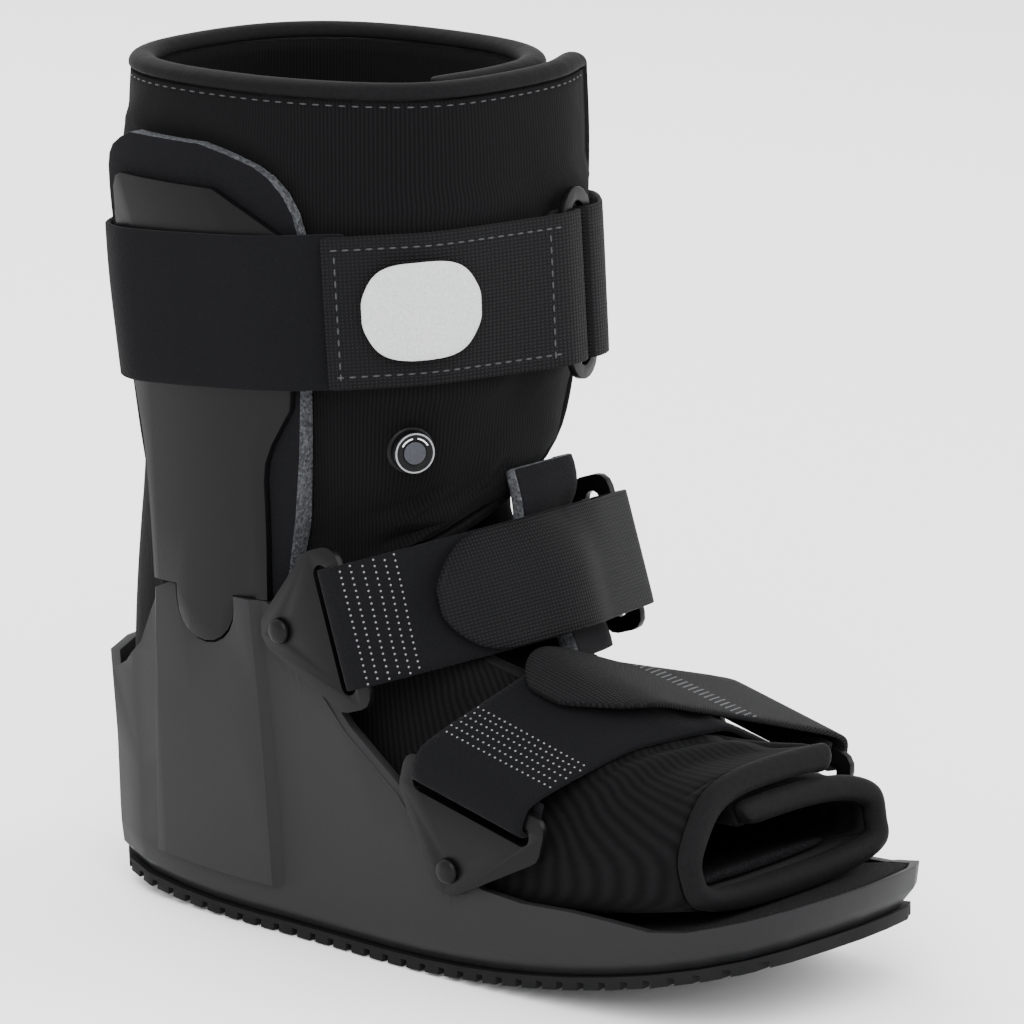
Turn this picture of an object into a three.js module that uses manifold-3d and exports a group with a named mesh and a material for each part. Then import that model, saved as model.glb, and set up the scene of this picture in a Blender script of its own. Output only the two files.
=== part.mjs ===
// A short medical walking boot: rocker shell, two uprights, padded wrap liner and three straps.
// Millimetres, +Z up. The toe points to -Y, and the side with the air valve is -X (the near side).
import * as THREE from 'three';
import { mergeVertices } from 'three/addons/utils/BufferGeometryUtils.js';
import Module from 'manifold-3d';

const wasm = await Module();
wasm.setup();

// Driving dimensions of the rocker shell.
const toeReach = 145;          // from the origin to the tip of the toe
const heelReach = 143;
const soleWidth = 112;
const shellWall = 3;
const shellFloor = 4;
const rimHeight = 12;          // toe rim over the underside of the shell
const wallHeight = 104;        // side walls over the underside of the shell
const wallFlare = 6;           // how far the side walls lean out towards their top
const bottomTuck = 5;          // how far the shell's bottom edge is rounded in
const flatFront = 5;           // the flat stretch of the rocker, in Y
const flatBack = 60;
const toeRadius = 455;         // rocker radius in front of the flat stretch
const heelRadius = 420;
const panelRise = 2.5;         // raised panel that takes the upright
const panelCentre = 72;
const panelWidth = 36;

// Driving dimensions of the rubber outsole and the foam footbed.
const soleBase = 1.6;
const lugHeight = 2.4;
const lugWidth = 5.6;
const lugGroove = 2.4;
const soleInset = 2.5;
const spineWidth = 18;         // the middle strip that the grooves leave whole
const footbedThickness = 8;

// Driving dimensions of the liner.
const bootHeight = 271;
const legJoin = 132;           // height where the leg wrap meets the foot section
const legWidth = 104;
const legDepth = 126;
const legCentre = 65;
const linerWall = 7;
const farFlapEnd = 22;         // degrees past the front where the inner flap ends
const flapBlend = 34;          // degrees over which the outer flap climbs over the inner one
const bindingHeight = 5;
const bindingGap = 0.7;        // between the binding and the wall's edge
const bindingLip = 0.7;        // the binding is this much proud of the wall on each side
const solePadThickness = 4;
const solePadWidth = 66;
const instepPadThickness = 5;

// Driving dimensions of the uprights and their pads.
const uprightThickness = 2.5;
const uprightTop = 237;
const uprightReach = 64;       // outer face at the top, from the middle of the boot
const uprightWidth = 70;
const uprightCentre = 70;
const uprightBow = 160;        // radius of the uprights in plan
const tongueWidth = 24;
const tongueDepth = 16;
const notchGap = 0.8;
const padWidth = 78;
const padCentre = 71;
const padTop = 250;

// Driving dimensions of the straps, brackets, rivets, ring and valve.
const legStrapWidth = 48;
const legStrapHeight = 203.5;
const legStrapTilt = 4;
const strapThickness = 1.8;
const bracketThickness = 2.4;
const bracketReach = 22.5;     // rivet to the middle of the slot
const bracketShift = 3.5;      // rivet over the middle of the slot, along the slot
const slotWidth = 6;
const slotSpare = 3;           // the slot is this much longer than its strap is wide
const barWidth = 5;
const bracketEar = 8;
const rivetRadius = 4.2;
const rivetShank = 1.8;
const rivetDome = 2.2;
const ringBar = 4.5;
const ringSlot = 8;
const ringTurn = 106;
const patchWidth = 38;
const patchHeight = 30;
const patchThickness = 1;
const patchTurn = 60;
const valveTurn = 59;
const valveZ = 159;
const valveRadius = 6.6;
const valveRise = 3.4;
const valveCollar = 1.4;

// Clearances.
const gap = 0.3;               // between pieces that touch
const fitGap = 0.8;            // between the liner and the shell
const layGap = 1.1;            // between webbing and what it lies on

const soleLength = toeReach + heelReach;
const underside = soleBase + lugHeight + gap;
const linerFloor = underside + shellFloor + footbedThickness + bindingLip + 2 * gap;

// Places of the two foot straps: the middle of the near slot and of the far one, the slant of the
// strap's plane, how far its turned-back end runs askew, and the turns where the strap and that end stop.
const footStraps = [
  { name: 'ankle', y: 15.5, z: 105, farY: 4, farZ: 109.5, slant: 18.4, width: 38, askew: 0.1, lastTurn: 146, tabTurn: 43 },
  { name: 'forefoot', y: -38.5, z: 58, farY: -66, farZ: 59, slant: 75.8, width: 44, askew: 0.33, lastTurn: 140, tabTurn: 54 },
];

// Half outline of the sole, from toe to heel: shares of the length and of the half width.
const soleOutline = [
  { along: 0.0, across: 0 },
  { along: 0.012, across: 0.45 },
  { along: 0.045, across: 0.76 },
  { along: 0.11, across: 0.93 },
  { along: 0.2, across: 0.99 },
  { along: 0.32, across: 1.0 },
  { along: 0.47, across: 0.965 },
  { along: 0.64, across: 0.905 },
  { along: 0.8, across: 0.86 },
  { along: 0.9, across: 0.79 },
  { along: 0.955, across: 0.63 },
  { along: 0.99, across: 0.34 },
  { along: 1.0, across: 0 },
];

// Upper edge of the shell's side, from heel to toe: shares of the sole's length and the wall's height.
const shellEdge = [
  { along: 0.62, up: 0.62 },
  { along: 0.43, up: 0.625 },
  { along: 0.4, up: 0.68 },
  { along: 0.368, up: 0.77 },
  { along: 0.348, up: 0.88 },
  { along: 0.33, up: 0.97 },
  { along: 0.305, up: 1.0 },
  { along: 0.165, up: 1.0 },
  { along: 0.14, up: 0.97 },
  { along: 0.045, up: 0.675 },
  { along: -0.03, up: 0.52 },
  { along: -0.07, up: 0.4 },
  { along: -0.105, up: 0.31 },
  { along: -0.14, up: 0.25 },
  { along: -0.195, up: 0.22 },
  { along: -0.26, up: 0.2 },
  { along: -0.31, up: 0.17 },
  { along: -0.36, up: 0.13 },
];

// Leg sections from the rim down: height as a share of the wrap's, front and back as shares of half the
// leg's depth, half width as a share of half the leg's width, and how square the section is.
const legSections = [
  { up: 1.0, front: -0.98, back: 0.99, across: 1.1, square: 2.7 },
  { up: 0.8, front: -1.01, back: 1.03, across: 1.06, square: 2.8 },
  { up: 0.48, front: -1.0, back: 1.0, across: 0.99, square: 2.8 },
  { up: 0.2, front: -0.94, back: 1.01, across: 0.94, square: 2.7 },
  { up: 0.0, front: -0.84, back: 1.04, across: 0.9, square: 2.6 },
];

// Foot sections from the ankle to the toe. Each lies in the plane through its top and its lowest point:
// y as shares of the sole's length, up as shares of the height between footbed and leg join, half width
// as a share of half the sole's width, belly the height of the widest place, and how square it is.
const footSections = [
  { topY: 0.035, topUp: 0.93, lowY: 0.466, lowUp: 0.77, across: 0.83, belly: 0.5, square: 2.6 },
  { topY: 0.018, topUp: 0.84, lowY: 0.473, lowUp: 0.52, across: 0.84, belly: 0.5, square: 2.6 },
  { topY: -0.01, topUp: 0.745, lowY: 0.47, lowUp: 0.26, across: 0.86, belly: 0.49, square: 2.6 },
  { topY: -0.05, topUp: 0.655, lowY: 0.44, lowUp: 0.06, across: 0.87, belly: 0.46, square: 2.7 },
  { topY: -0.095, topUp: 0.575, lowY: 0.36, lowUp: 0, across: 0.88, belly: 0.43, square: 2.8 },
  { topY: -0.145, topUp: 0.524, lowY: 0.22, lowUp: 0, across: 0.89, belly: 0.41, square: 2.9 },
  { topY: -0.19, topUp: 0.467, lowY: 0.06, lowUp: 0, across: 0.91, belly: 0.4, square: 2.9 },
  { topY: -0.255, topUp: 0.42, lowY: -0.09, lowUp: 0, across: 0.92, belly: 0.4, square: 2.9 },
  { topY: -0.325, topUp: 0.4, lowY: -0.25, lowUp: 0, across: 0.93, belly: 0.4, square: 2.8 },
  { topY: -0.37, topUp: 0.4, lowY: -0.4, lowUp: 0, across: 0.93, belly: 0.4, square: 2.7 },
];

// Where the outer flap ends, in degrees from the front (far side negative), by section from the rim.
const flapEdge = [
  { section: 0, turn: -40 },
  { section: 2.5, turn: -41 },
  { section: 3.0, turn: -39 },
  { section: 3.35, turn: -26 },
  { section: 3.7, turn: -2 },
  { section: 4.1, turn: 22 },
  { section: 4.6, turn: 34 },
  { section: 6.0, turn: 32 },
  { section: 8.0, turn: 30 },
  { section: 14.0, turn: -24 },
];

// Outline of an upright: up as a share of its height over the shell, back and front as shares of its
// half width from its middle.
const uprightSections = [
  { up: 0.0, back: 0.7, front: 0.66 },
  { up: 0.2, back: 0.72, front: 0.68 },
  { up: 0.3, back: 0.74, front: 0.68 },
  { up: 0.37, back: 0.77, front: 0.74 },
  { up: 0.46, back: 0.83, front: 0.93 },
  { up: 0.53, back: 0.87, front: 1.0 },
  { up: 0.86, back: 0.99, front: 0.99 },
  { up: 0.91, back: 1.0, front: 0.9 },
  { up: 0.98, back: 1.0, front: 0.42 },
  { up: 1.0, back: 0.9, front: 0.26 },
];

// Outline of an upright's pad, with the same columns over its own height.
const padSections = [
  { up: 0.0, back: 0.55, front: 0.72 },
  { up: 0.15, back: 0.66, front: 0.84 },
  { up: 0.4, back: 0.82, front: 0.94 },
  { up: 0.75, back: 0.98, front: 1.0 },
  { up: 0.86, back: 1.02, front: 0.96 },
  { up: 0.93, back: 1.01, front: 0.8 },
  { up: 0.97, back: 0.92, front: 0.56 },
  { up: 1.0, back: 0.7, front: 0.1 },
];

const lerp = THREE.MathUtils.lerp;
const clamp = THREE.MathUtils.clamp;
const radians = THREE.MathUtils.degToRad;
const smooth = (from, to, value) => THREE.MathUtils.smoothstep(value, from, to);
const point = (x, y, z) => new THREE.Vector3(x, y, z);

// Value of a table's column at a place in its rising key column.
function readTable(table, key, column, at) {
  let upper = 1;
  while (upper < table.length - 1 && table[upper][key] < at) upper += 1;
  const span = table[upper][key] - table[upper - 1][key];
  const share = clamp((at - table[upper - 1][key]) / span, 0, 1);
  return lerp(table[upper - 1][column], table[upper][column], share);
}

// Rise of the rocker's underside at a place along the sole.
function rockerRise(y) {
  if (y > flatBack) return (y - flatBack) ** 2 / (2 * heelRadius);
  if (y < flatFront) return (flatFront - y) ** 2 / (2 * toeRadius);
  return 0;
}

// Geometry from a closed triangle list, turned so that its faces point outwards.
function facingOut(positions, index) {
  let volume = 0;
  for (let i = 0; i < index.length; i += 3) {
    const [a, b, c] = [0, 1, 2].map((k) => new THREE.Vector3().fromArray(positions, index[i + k] * 3));
    volume += a.dot(b.cross(c));
  }
  if (volume < 0) {
    for (let i = 0; i < index.length; i += 3) [index[i], index[i + 1]] = [index[i + 1], index[i]];
  }
  const geometry = new THREE.BufferGeometry();
  geometry.setAttribute('position', new THREE.Float32BufferAttribute(positions, 3));
  geometry.setIndex(index);
  return geometry;
}

// A closed solid between rings of points. Its two ends are closed by strips that run across the rings.
function loft(rings) {
  const count = rings[0].length;
  const positions = rings.flat().flatMap((p) => [p.x, p.y, p.z]);
  const index = [];
  const face = (a, b, c) => {
    if (a !== b && b !== c && a !== c) index.push(a, b, c);
  };
  for (let r = 0; r < rings.length - 1; r += 1) {
    for (let i = 0; i < count; i += 1) {
      const j = (i + 1) % count;
      const [a, b, c, d] = [r * count + i, r * count + j, (r + 1) * count + j, (r + 1) * count + i];
      face(a, b, c);
      face(a, c, d);
    }
  }
  const last = (rings.length - 1) * count;
  // From the ring's first point, or for a sheet its first edge, the strips run to the middle.
  const paired = count % 2 === 0 && rings[0].sheet ? 1 : 0;
  for (let i = 0; i < (count - paired) / 2; i += 1) {
    const [a, b] = [i, i + 1];
    const [c, d] = [(2 * count - i - 1 - paired) % count, (2 * count - i - paired) % count];
    face(a, c, b);
    face(a, d, c);
    face(last + a, last + b, last + c);
    face(last + a, last + c, last + d);
  }
  return facingOut(positions, index);
}

// A closed sheet with thickness: place(u, v, side) gives its inner (0) and outer (1) faces.
function sheet(columns, rows, place) {
  const rings = [];
  for (let c = 0; c <= columns; c += 1) {
    const ring = [];
    for (let r = 0; r <= rows; r += 1) ring.push(place(c / columns, r / rows, 0, c, r));
    for (let r = rows; r >= 0; r -= 1) ring.push(place(c / columns, r / rows, 1, c, r));
    ring.sheet = true;
    rings.push(ring);
  }
  return loft(rings);
}

function toSolid(geometry) {
  const bare = geometry.clone();
  bare.deleteAttribute('normal');
  bare.deleteAttribute('uv');
  const merged = mergeVertices(bare, 1e-4);
  return new wasm.Manifold(new wasm.Mesh({
    numProp: 3,
    vertProperties: merged.getAttribute('position').array,
    triVerts: new Uint32Array(merged.index.array),
  }));
}

function toGeometry(solid) {
  const mesh = solid.getMesh();
  const geometry = new THREE.BufferGeometry();
  geometry.setAttribute('position', new THREE.Float32BufferAttribute(mesh.vertProperties, 3));
  geometry.setIndex([...mesh.triVerts]);
  return geometry;
}

// A plate from its flat shape, with the directions that its x, its y and its thickness take.
function plate(shape, thickness, alongX, alongY, through) {
  const solid = new THREE.ExtrudeGeometry(shape, {
    depth: thickness,
    bevelEnabled: false,
    curveSegments: 5,
  });
  solid.applyMatrix4(new THREE.Matrix4().makeBasis(alongX, alongY, through));
  const positions = [...solid.getAttribute('position').array];
  return facingOut(positions, [...Array(positions.length / 3).keys()]);
}

// A prism along X between two places, from its outline in the YZ plane.
function crossPrism(outline, from, to) {
  const shape = new THREE.Shape(outline.map(([y, z]) => new THREE.Vector2(y, z)));
  const prism = plate(shape, to - from, point(0, 1, 0), point(0, 0, 1), point(1, 0, 0));
  return toSolid(prism.translate(from, 0, 0));
}

const halfOutline = new THREE.SplineCurve(
  soleOutline.map(({ along, across }) => new THREE.Vector2(
    (-across * soleWidth) / 2,
    along * soleLength - toeReach,
  )),
);

// The sole's outline, grown outwards, as a closed run of points from the toe round the near side.
function soleRing(grow, height) {
  const steps = 23;
  const near = [];
  for (let i = 0; i <= steps; i += 1) {
    const at = halfOutline.getPointAt(i / steps);
    const along = halfOutline.getTangentAt(i / steps);
    const tip = i === 0 || i === steps;
    const x = tip ? 0 : at.x - along.y * grow;
    const y = at.y + (tip ? Math.sign(at.y) : along.x) * grow;
    near.push(point(x, y, height(y)));
  }
  const far = near.slice(1, -1).reverse().map((p) => point(-p.x, p.y, p.z));
  return [...near, ...far];
}

// Height of a point of the shell that stands up over its underside.
function shellHeight(up, y) {
  const fade = 1 - smooth(3 * rimHeight, wallHeight, up);
  return underside + up + rockerRise(y) * fade;
}

// How far the shell's side leans out at a height over its underside.
function flare(up) {
  const tuck = bottomTuck * (1 - smooth(0, 0.75 * rimHeight, up)) ** 2;
  return wallFlare * smooth(0.1 * wallHeight, 1.3 * wallHeight, up) - tuck;
}

// Half width of the shell's outside at a place along it and a height over its underside.
function shellHalfWidth(y, up) {
  const along = (y + toeReach) / soleLength;
  return (readTable(soleOutline, 'along', 'across', along) * soleWidth) / 2 + flare(up);
}

const shellTop = underside + wallHeight;
const socketFace = shellHalfWidth(panelCentre, wallHeight) + panelRise;
const linerInShell = soleRing(-shellWall - fitGap, () => 0);

// A strap's own coordinates: across the boot, ahead along the strap's way over the foot, and side along
// its width. skew and rise are how far its way shifts with each millimetre across.
function strapFrame(slant, through, skew, rise) {
  const ahead = point(0, -Math.cos(radians(slant)), Math.sin(radians(slant)));
  const side = point(0, Math.sin(radians(slant)), Math.cos(radians(slant)));
  const across = point(1, -skew, rise);
  return { middle: through.clone().addScaledVector(across, -through.x), ahead, side, across };
}

function inFrame(frame, x, ahead, side) {
  return frame.middle.clone()
    .addScaledVector(frame.across, x)
    .addScaledVector(frame.ahead, ahead)
    .addScaledVector(frame.side, side);
}

// Rivet, slot and plate of each bracket, and the frames of each foot strap and its turned-back end.
const bracketPlaces = footStraps.map((strap) => {
  const flat = strapFrame(strap.slant, point(0, 0, 0), 0, 0);
  const [near, far] = [[-1, strap.y, strap.z], [1, strap.farY, strap.farZ]].map(([side, y, z]) => {
    const rivet = inFrame(flat, 0, -bracketReach, bracketShift).add(point(0, y, z));
    const up = rivet.z - underside - rockerRise(rivet.y);
    const widest = Math.max(...[-1, 0, 1].flatMap((shift) => [-1, 0, 1].map(
      (lift) => shellHalfWidth(rivet.y + shift * bracketEar, up + lift * bracketEar),
    )));
    const plateX = widest + gap;
    return { side, rivet, plateX, slot: point(side * (plateX + bracketThickness / 2), y, z) };
  });
  const span = far.slot.x - near.slot.x;
  const rise = (far.slot.z - near.slot.z) / span;
  const frame = strapFrame(strap.slant, near.slot, (near.slot.y - far.slot.y) / span, rise);
  const endFrame = strapFrame(strap.slant, far.slot, strap.askew, rise);
  return { ...strap, brackets: [near, far], frame, endFrame };
});

const circle = (radius, steps, y, z) => Array.from({ length: steps }, (_, i) => [
  y + radius * Math.cos((i / steps) * 2 * Math.PI),
  z + radius * Math.sin((i / steps) * 2 * Math.PI),
]);

// The tongue of an upright, and with a clearance the notch that takes it: a U open at the top.
function tongueOutline(spare, top) {
  const half = tongueWidth / 2 + spare;
  const low = shellTop - tongueDepth - spare;
  const arc = [];
  for (let i = 0; i <= 10; i += 1) {
    const turn = Math.PI * (1 + i / 10);
    arc.push([panelCentre + half * Math.cos(turn), low + half * (1 + Math.sin(turn))]);
  }
  return [...arc, [panelCentre + half, top], [panelCentre - half, top]];
}

function buildShell() {
  const levels = [0, 0.02, 0.05, 0.11, 0.35, 0.65, 1.05].map((share) => share * wallHeight);
  const block = (grow, upFrom) => toSolid(loft(levels.filter((up) => up >= upFrom).map((up, i) => {
    const at = i === 0 ? upFrom : up;
    return soleRing(flare(at) + grow, (y) => shellHeight(at, y));
  })));
  // The raised panel's shoulders slope, because its block narrows outwards.
  const face = socketFace + panelRise;
  const half = panelWidth / 2;
  const slope = 4 * panelRise;
  const panelRing = (z) => [
    point(0, panelCentre - half - slope, z),
    point(-face + slope, panelCentre - half - slope, z),
    point(-face, panelCentre - half, z),
    point(-face, panelCentre + half, z),
    point(-face + slope, panelCentre + half + slope, z),
    point(0, panelCentre + half + slope, z),
    point(face - slope, panelCentre + half + slope, z),
    point(face, panelCentre + half, z),
    point(face, panelCentre - half, z),
    point(face - slope, panelCentre - half - slope, z),
  ];
  const panelLow = underside + rimHeight;
  const panel = toSolid(loft([panelRing(panelLow), panelRing(shellTop + rimHeight)]));
  const high = shellTop + 2 * rimHeight;
  const toeCut = [0.4, 0.43, 0.46, 0.49, 0.52].map((share) => {
    const y = -share * soleLength;
    return [y, shellHeight(rimHeight, y)];
  });
  const edge = shellEdge.map(({ along, up }) => {
    const y = along * soleLength;
    return [y, shellHeight(Math.max(up * wallHeight, rimHeight), y)];
  });
  const front = -toeReach - 2 * rimHeight;
  const over = crossPrism([
    ...edge, ...toeCut, [front, toeCut[toeCut.length - 1][1]], [front, high], [edge[0][0], high],
  ], -soleWidth, soleWidth);
  const ends = (side) => (side < 0 ? [-soleWidth, 0] : [0, soleWidth]);
  const rivets = bracketPlaces.flatMap(({ brackets }) => brackets);
  const ears = rivets.map(({ side, rivet }) => {
    const round = [[0, 0], [bracketEar, -2 * bracketEar]].flatMap(
      ([dy, dz]) => circle(bracketEar, 24, rivet.y + dy, rivet.z + dz),
    );
    const lobe = convexHull(round.map(([y, z]) => new THREE.Vector2(y, z)));
    return crossPrism(lobe.map(({ x, y }) => [x, y]), ...ends(side));
  });
  const slot = crossPrism(tongueOutline(notchGap, high), -soleWidth, soleWidth);
  const sag = (tongueWidth / 2 + notchGap) ** 2 / (2 * uprightBow);
  const slotFloor = socketFace - uprightThickness - sag - gap;
  const core = toSolid(new THREE.BoxGeometry(2 * slotFloor, 3 * soleLength, 3 * bootHeight));
  let shell = block(0, 0)
    .add(block(panelRise, rimHeight).intersect(panel))
    .subtract(block(-shellWall, shellFloor))
    .subtract(ears.reduce((rest, ear) => rest.subtract(ear), over))
    .subtract(slot.subtract(core));
  rivets.forEach(({ side, rivet }) => {
    const hole = circle(rivetShank + gap, 16, rivet.y, rivet.z);
    shell = shell.subtract(crossPrism(hole, ...ends(side)));
  });
  return toGeometry(shell);
}

function buildOutsole() {
  let sole = toSolid(loft([
    soleRing(-soleInset, (y) => rockerRise(y)),
    soleRing(-soleInset, (y) => rockerRise(y) + soleBase + lugHeight),
  ]));
  const pitch = lugWidth + lugGroove;
  const grooves = Math.floor((soleLength - 2 * pitch) / pitch);
  for (let i = 0; i < grooves; i += 1) {
    const y = -toeReach + 1.5 * pitch + i * pitch;
    const depth = rockerRise(y) + lugHeight;
    [-1, 1].forEach((side) => {
      const groove = new THREE.BoxGeometry(soleWidth, lugGroove, 2 * depth);
      sole = sole.subtract(toSolid(groove.translate((side * (soleWidth + spineWidth)) / 2, y, 0)));
    });
  }
  return toGeometry(sole);
}

function buildFootbed() {
  const low = shellFloor + gap;
  const high = low + footbedThickness;
  return loft([low, lerp(low, high, 0.5), high].map(
    (up) => soleRing(flare(up) - shellWall - fitGap, (y) => underside + up + rockerRise(y)),
  ));
}

// The liner's sections in one list from the rim to the toe, each with its front or top point, its back
// or lowest point, half width, belly and squareness.
const wrapHeight = bootHeight - bindingHeight - legJoin;
const sections = [
  ...legSections.map(({ up, front, back, across, square }) => ({
    frontY: legCentre + (front * legDepth) / 2,
    frontZ: legJoin + up * wrapHeight,
    backY: legCentre + (back * legDepth) / 2,
    backZ: legJoin + up * wrapHeight,
    half: (across * legWidth) / 2,
    belly: 0.5,
    square,
  })),
  ...footSections.map(({ topY, topUp, lowY, lowUp, across, belly, square }) => ({
    frontY: topY * soleLength,
    frontZ: lerp(linerFloor, legJoin, topUp),
    backY: lowY * soleLength,
    backZ: lerp(linerFloor, legJoin, lowUp) + (lowUp > 0 ? 0 : rockerRise(lowY * soleLength)),
    half: (across * soleWidth) / 2,
    belly,
    square,
  })),
];
const sectionColumns = Object.keys(sections[0]);
const sectionSplines = Object.fromEntries(sectionColumns.map((column) => [
  column,
  new THREE.SplineCurve(sections.map((row, i) => new THREE.Vector2(i, row[column]))),
]));
const lastSection = sections.length - 1;

function sectionAt(place) {
  const share = clamp(place / lastSection, 0, 1);
  return Object.fromEntries(sectionColumns.map((column) => [
    column,
    sectionSplines[column].getPoint(share).y,
  ]));
}

// Rows of the liner, spread evenly along its length.
const linerRows = (() => {
  const count = 25;
  const fine = Array.from({ length: 281 }, (_, i) => (i / 280) * lastSection);
  const lengths = [0];
  for (let i = 1; i < fine.length; i += 1) {
    const [a, b] = [sectionAt(fine[i - 1]), sectionAt(fine[i])];
    const ahead = Math.hypot(b.frontY - a.frontY, b.frontZ - a.frontZ);
    const behind = Math.hypot(b.backY - a.backY, b.backZ - a.backZ);
    lengths.push(lengths[i - 1] + 0.6 * ahead + 0.4 * behind);
  }
  return Array.from({ length: count + 1 }, (_, r) => {
    const wanted = (r / count) * lengths[lengths.length - 1];
    const i = Math.max(1, lengths.findIndex((length) => length >= wanted - 1e-9));
    return lerp(fine[i - 1], fine[i], clamp((wanted - lengths[i - 1]) / (lengths[i] - lengths[i - 1]), 0, 1));
  });
})();

// A point of the liner, moved inwards in plan as far as the shell's wall asks.
function keepInShell(p, inward) {
  const fade = 1 - smooth(shellTop, shellTop + 4 * rimHeight, p.z);
  if (fade === 0) return p;
  const up = clamp(p.z - underside - rockerRise(p.y), 0, wallHeight);
  const grow = flare(up) - inward;
  let nearest = Infinity;
  let inside = false;
  const found = new THREE.Vector2();
  const outward = new THREE.Vector2();
  for (let i = 0; i < linerInShell.length; i += 1) {
    const a = linerInShell[i];
    const b = linerInShell[(i + 1) % linerInShell.length];
    const [dx, dy] = [b.x - a.x, b.y - a.y];
    if ((a.y > p.y) !== (b.y > p.y) && p.x < a.x + ((p.y - a.y) / dy) * dx) inside = !inside;
    const share = clamp(((p.x - a.x) * dx + (p.y - a.y) * dy) / (dx * dx + dy * dy), 0, 1);
    const [x, y] = [a.x + share * dx, a.y + share * dy];
    const away = Math.hypot(p.x - x, p.y - y);
    if (away < nearest) {
      nearest = away;
      found.set(x, y);
      outward.set(dy, -dx).normalize();
    }
  }
  if (outward.dot(found) < 0) outward.negate();
  const beyond = (inside ? -nearest : nearest) - grow;
  if (beyond <= 0) return p;
  return point(p.x - outward.x * beyond * fade, p.y - outward.y * beyond * fade, p.z);
}

// A point of the liner: its section, the turn from the front in degrees (near side positive), how far
// the layer stands off the leg, and how deep under its outer face.
function linerPoint(place, turn, standing, deep) {
  const row = sectionAt(place);
  const [c, s] = [Math.cos(radians(turn)), Math.sin(radians(turn))];
  const reach = (Math.abs(c) ** row.square + Math.abs(s) ** row.square) ** (-1 / row.square);
  const span = Math.hypot(row.frontY - row.backY, row.frontZ - row.backZ);
  const [alongY, alongZ] = [(row.frontY - row.backY) / span, (row.frontZ - row.backZ) / span];
  const length = c > 0 ? span * (1 - row.belly) : span * row.belly;
  const along = span * row.belly + (length + standing - deep) * c * reach;
  const across = -(row.half + standing - deep) * s * reach;
  return keepInShell(point(across, row.backY + alongY * along, row.backZ + alongZ * along), deep);
}

const flapStand = linerWall + 3 * bindingLip + fitGap;

// The liner's wall at a share of the way round, from the outer flap's edge to the inner flap's edge.
function linerWallPoint(share, place, side) {
  const first = readTable(flapEdge, 'section', 'turn', place);
  const turn = lerp(first, 360 + farFlapEnd, share);
  const standing = flapStand * (1 - smooth(farFlapEnd, farFlapEnd + flapBlend, turn));
  return linerPoint(place, turn, standing, side === 1 ? 0 : linerWall);
}

const linerColumns = 30;
const linerRow = (v) => linerRows[Math.round(v * (linerRows.length - 1))];

function buildLiner() {
  return sheet(linerColumns, linerRows.length - 1, (u, v, side) => linerWallPoint(u, linerRow(v), side));
}

// The tape along the liner's rim, the outer flap's edge and the toe opening.
function buildBinding(liner) {
  const stops = [];
  const lastRow = linerRows.length - 1;
  for (let c = linerColumns; c >= 0; c -= 1) stops.push([c / linerColumns, 0]);
  for (let r = 0; r <= lastRow; r += 1) stops.push([0, r / lastRow]);
  for (let c = 0; c <= linerColumns; c += 1) stops.push([c / linerColumns, 1]);
  const edge = stops.map(([u, v]) => ({
    outer: linerWallPoint(u, linerRow(v), 1),
    inner: linerWallPoint(u, linerRow(v), 0),
  }));
  const middle = (k) => edge[k].outer.clone().lerp(edge[k].inner, 0.5);
  const away = (k, before, after) => {
    const along = middle(after).sub(middle(before)).normalize();
    const through = edge[k].outer.clone().sub(edge[k].inner).normalize();
    return through.cross(along).normalize();
  };
  const rings = [];
  const addRing = (k, beyond) => {
    const through = edge[k].outer.clone().sub(edge[k].inner);
    const thickness = through.length() + 2 * bindingLip;
    through.normalize();
    // Along the flap's edge the tape is proud on the outer face only.
    const onFlap = k > linerColumns && k < linerColumns + lastRow;
    const seat = middle(k).addScaledVector(through, onFlap ? bindingLip : 0);
    const at = (across, rise) => seat.clone()
      .addScaledVector(through, across * thickness)
      .addScaledVector(beyond, bindingGap + rise * bindingHeight);
    rings.push([at(-0.5, 0), at(-0.5, 0.6), at(-0.2, 1), at(0.2, 1), at(0.5, 0.6), at(0.5, 0)]);
  };
  const corners = [linerColumns + 1, linerColumns + 1 + lastRow + 1];
  edge.forEach((_, k) => {
    const corner = corners.includes(k);
    if (corner) {
      const from = away(k - 1, k - 2, k - 1);
      const to = away(k, k, k + 1);
      [0.25, 0.5, 0.75].forEach((share) => addRing(k, from.clone().lerp(to, share).normalize()));
    }
    const first = k === 0 || corner;
    const last = k === edge.length - 1 || corners.includes(k + 1);
    addRing(k, away(k, first ? k : k - 1, last ? k : k + 1));
  });
  // Where the tape turns a corner, the wall's corner is cut out of it.
  const tape = toSolid(loft(rings)).subtract(toSolid(liner.geometry)).decompose();
  return toGeometry(tape.reduce((most, piece) => (piece.volume() > most.volume() ? piece : most)));
}

// Rays that find the surface of finished pieces.
const caster = new THREE.Raycaster();

function firstHit(from, direction, meshes) {
  caster.set(from, direction.clone().normalize());
  return caster.intersectObjects(meshes, false)[0];
}

function convexHull(points) {
  const sorted = [...points].sort((a, b) => a.x - b.x || a.y - b.y);
  const half = (list) => list.reduce((chain, p) => {
    const bends = () => {
      const [a, b] = chain.slice(-2);
      return b.clone().sub(a).cross(p.clone().sub(a));
    };
    while (chain.length > 1 && bends() <= 1e-9) chain.pop();
    chain.push(p);
    return chain;
  }, []);
  return [...half(sorted).slice(0, -1), ...half([...sorted].reverse()).slice(0, -1)];
}

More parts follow.
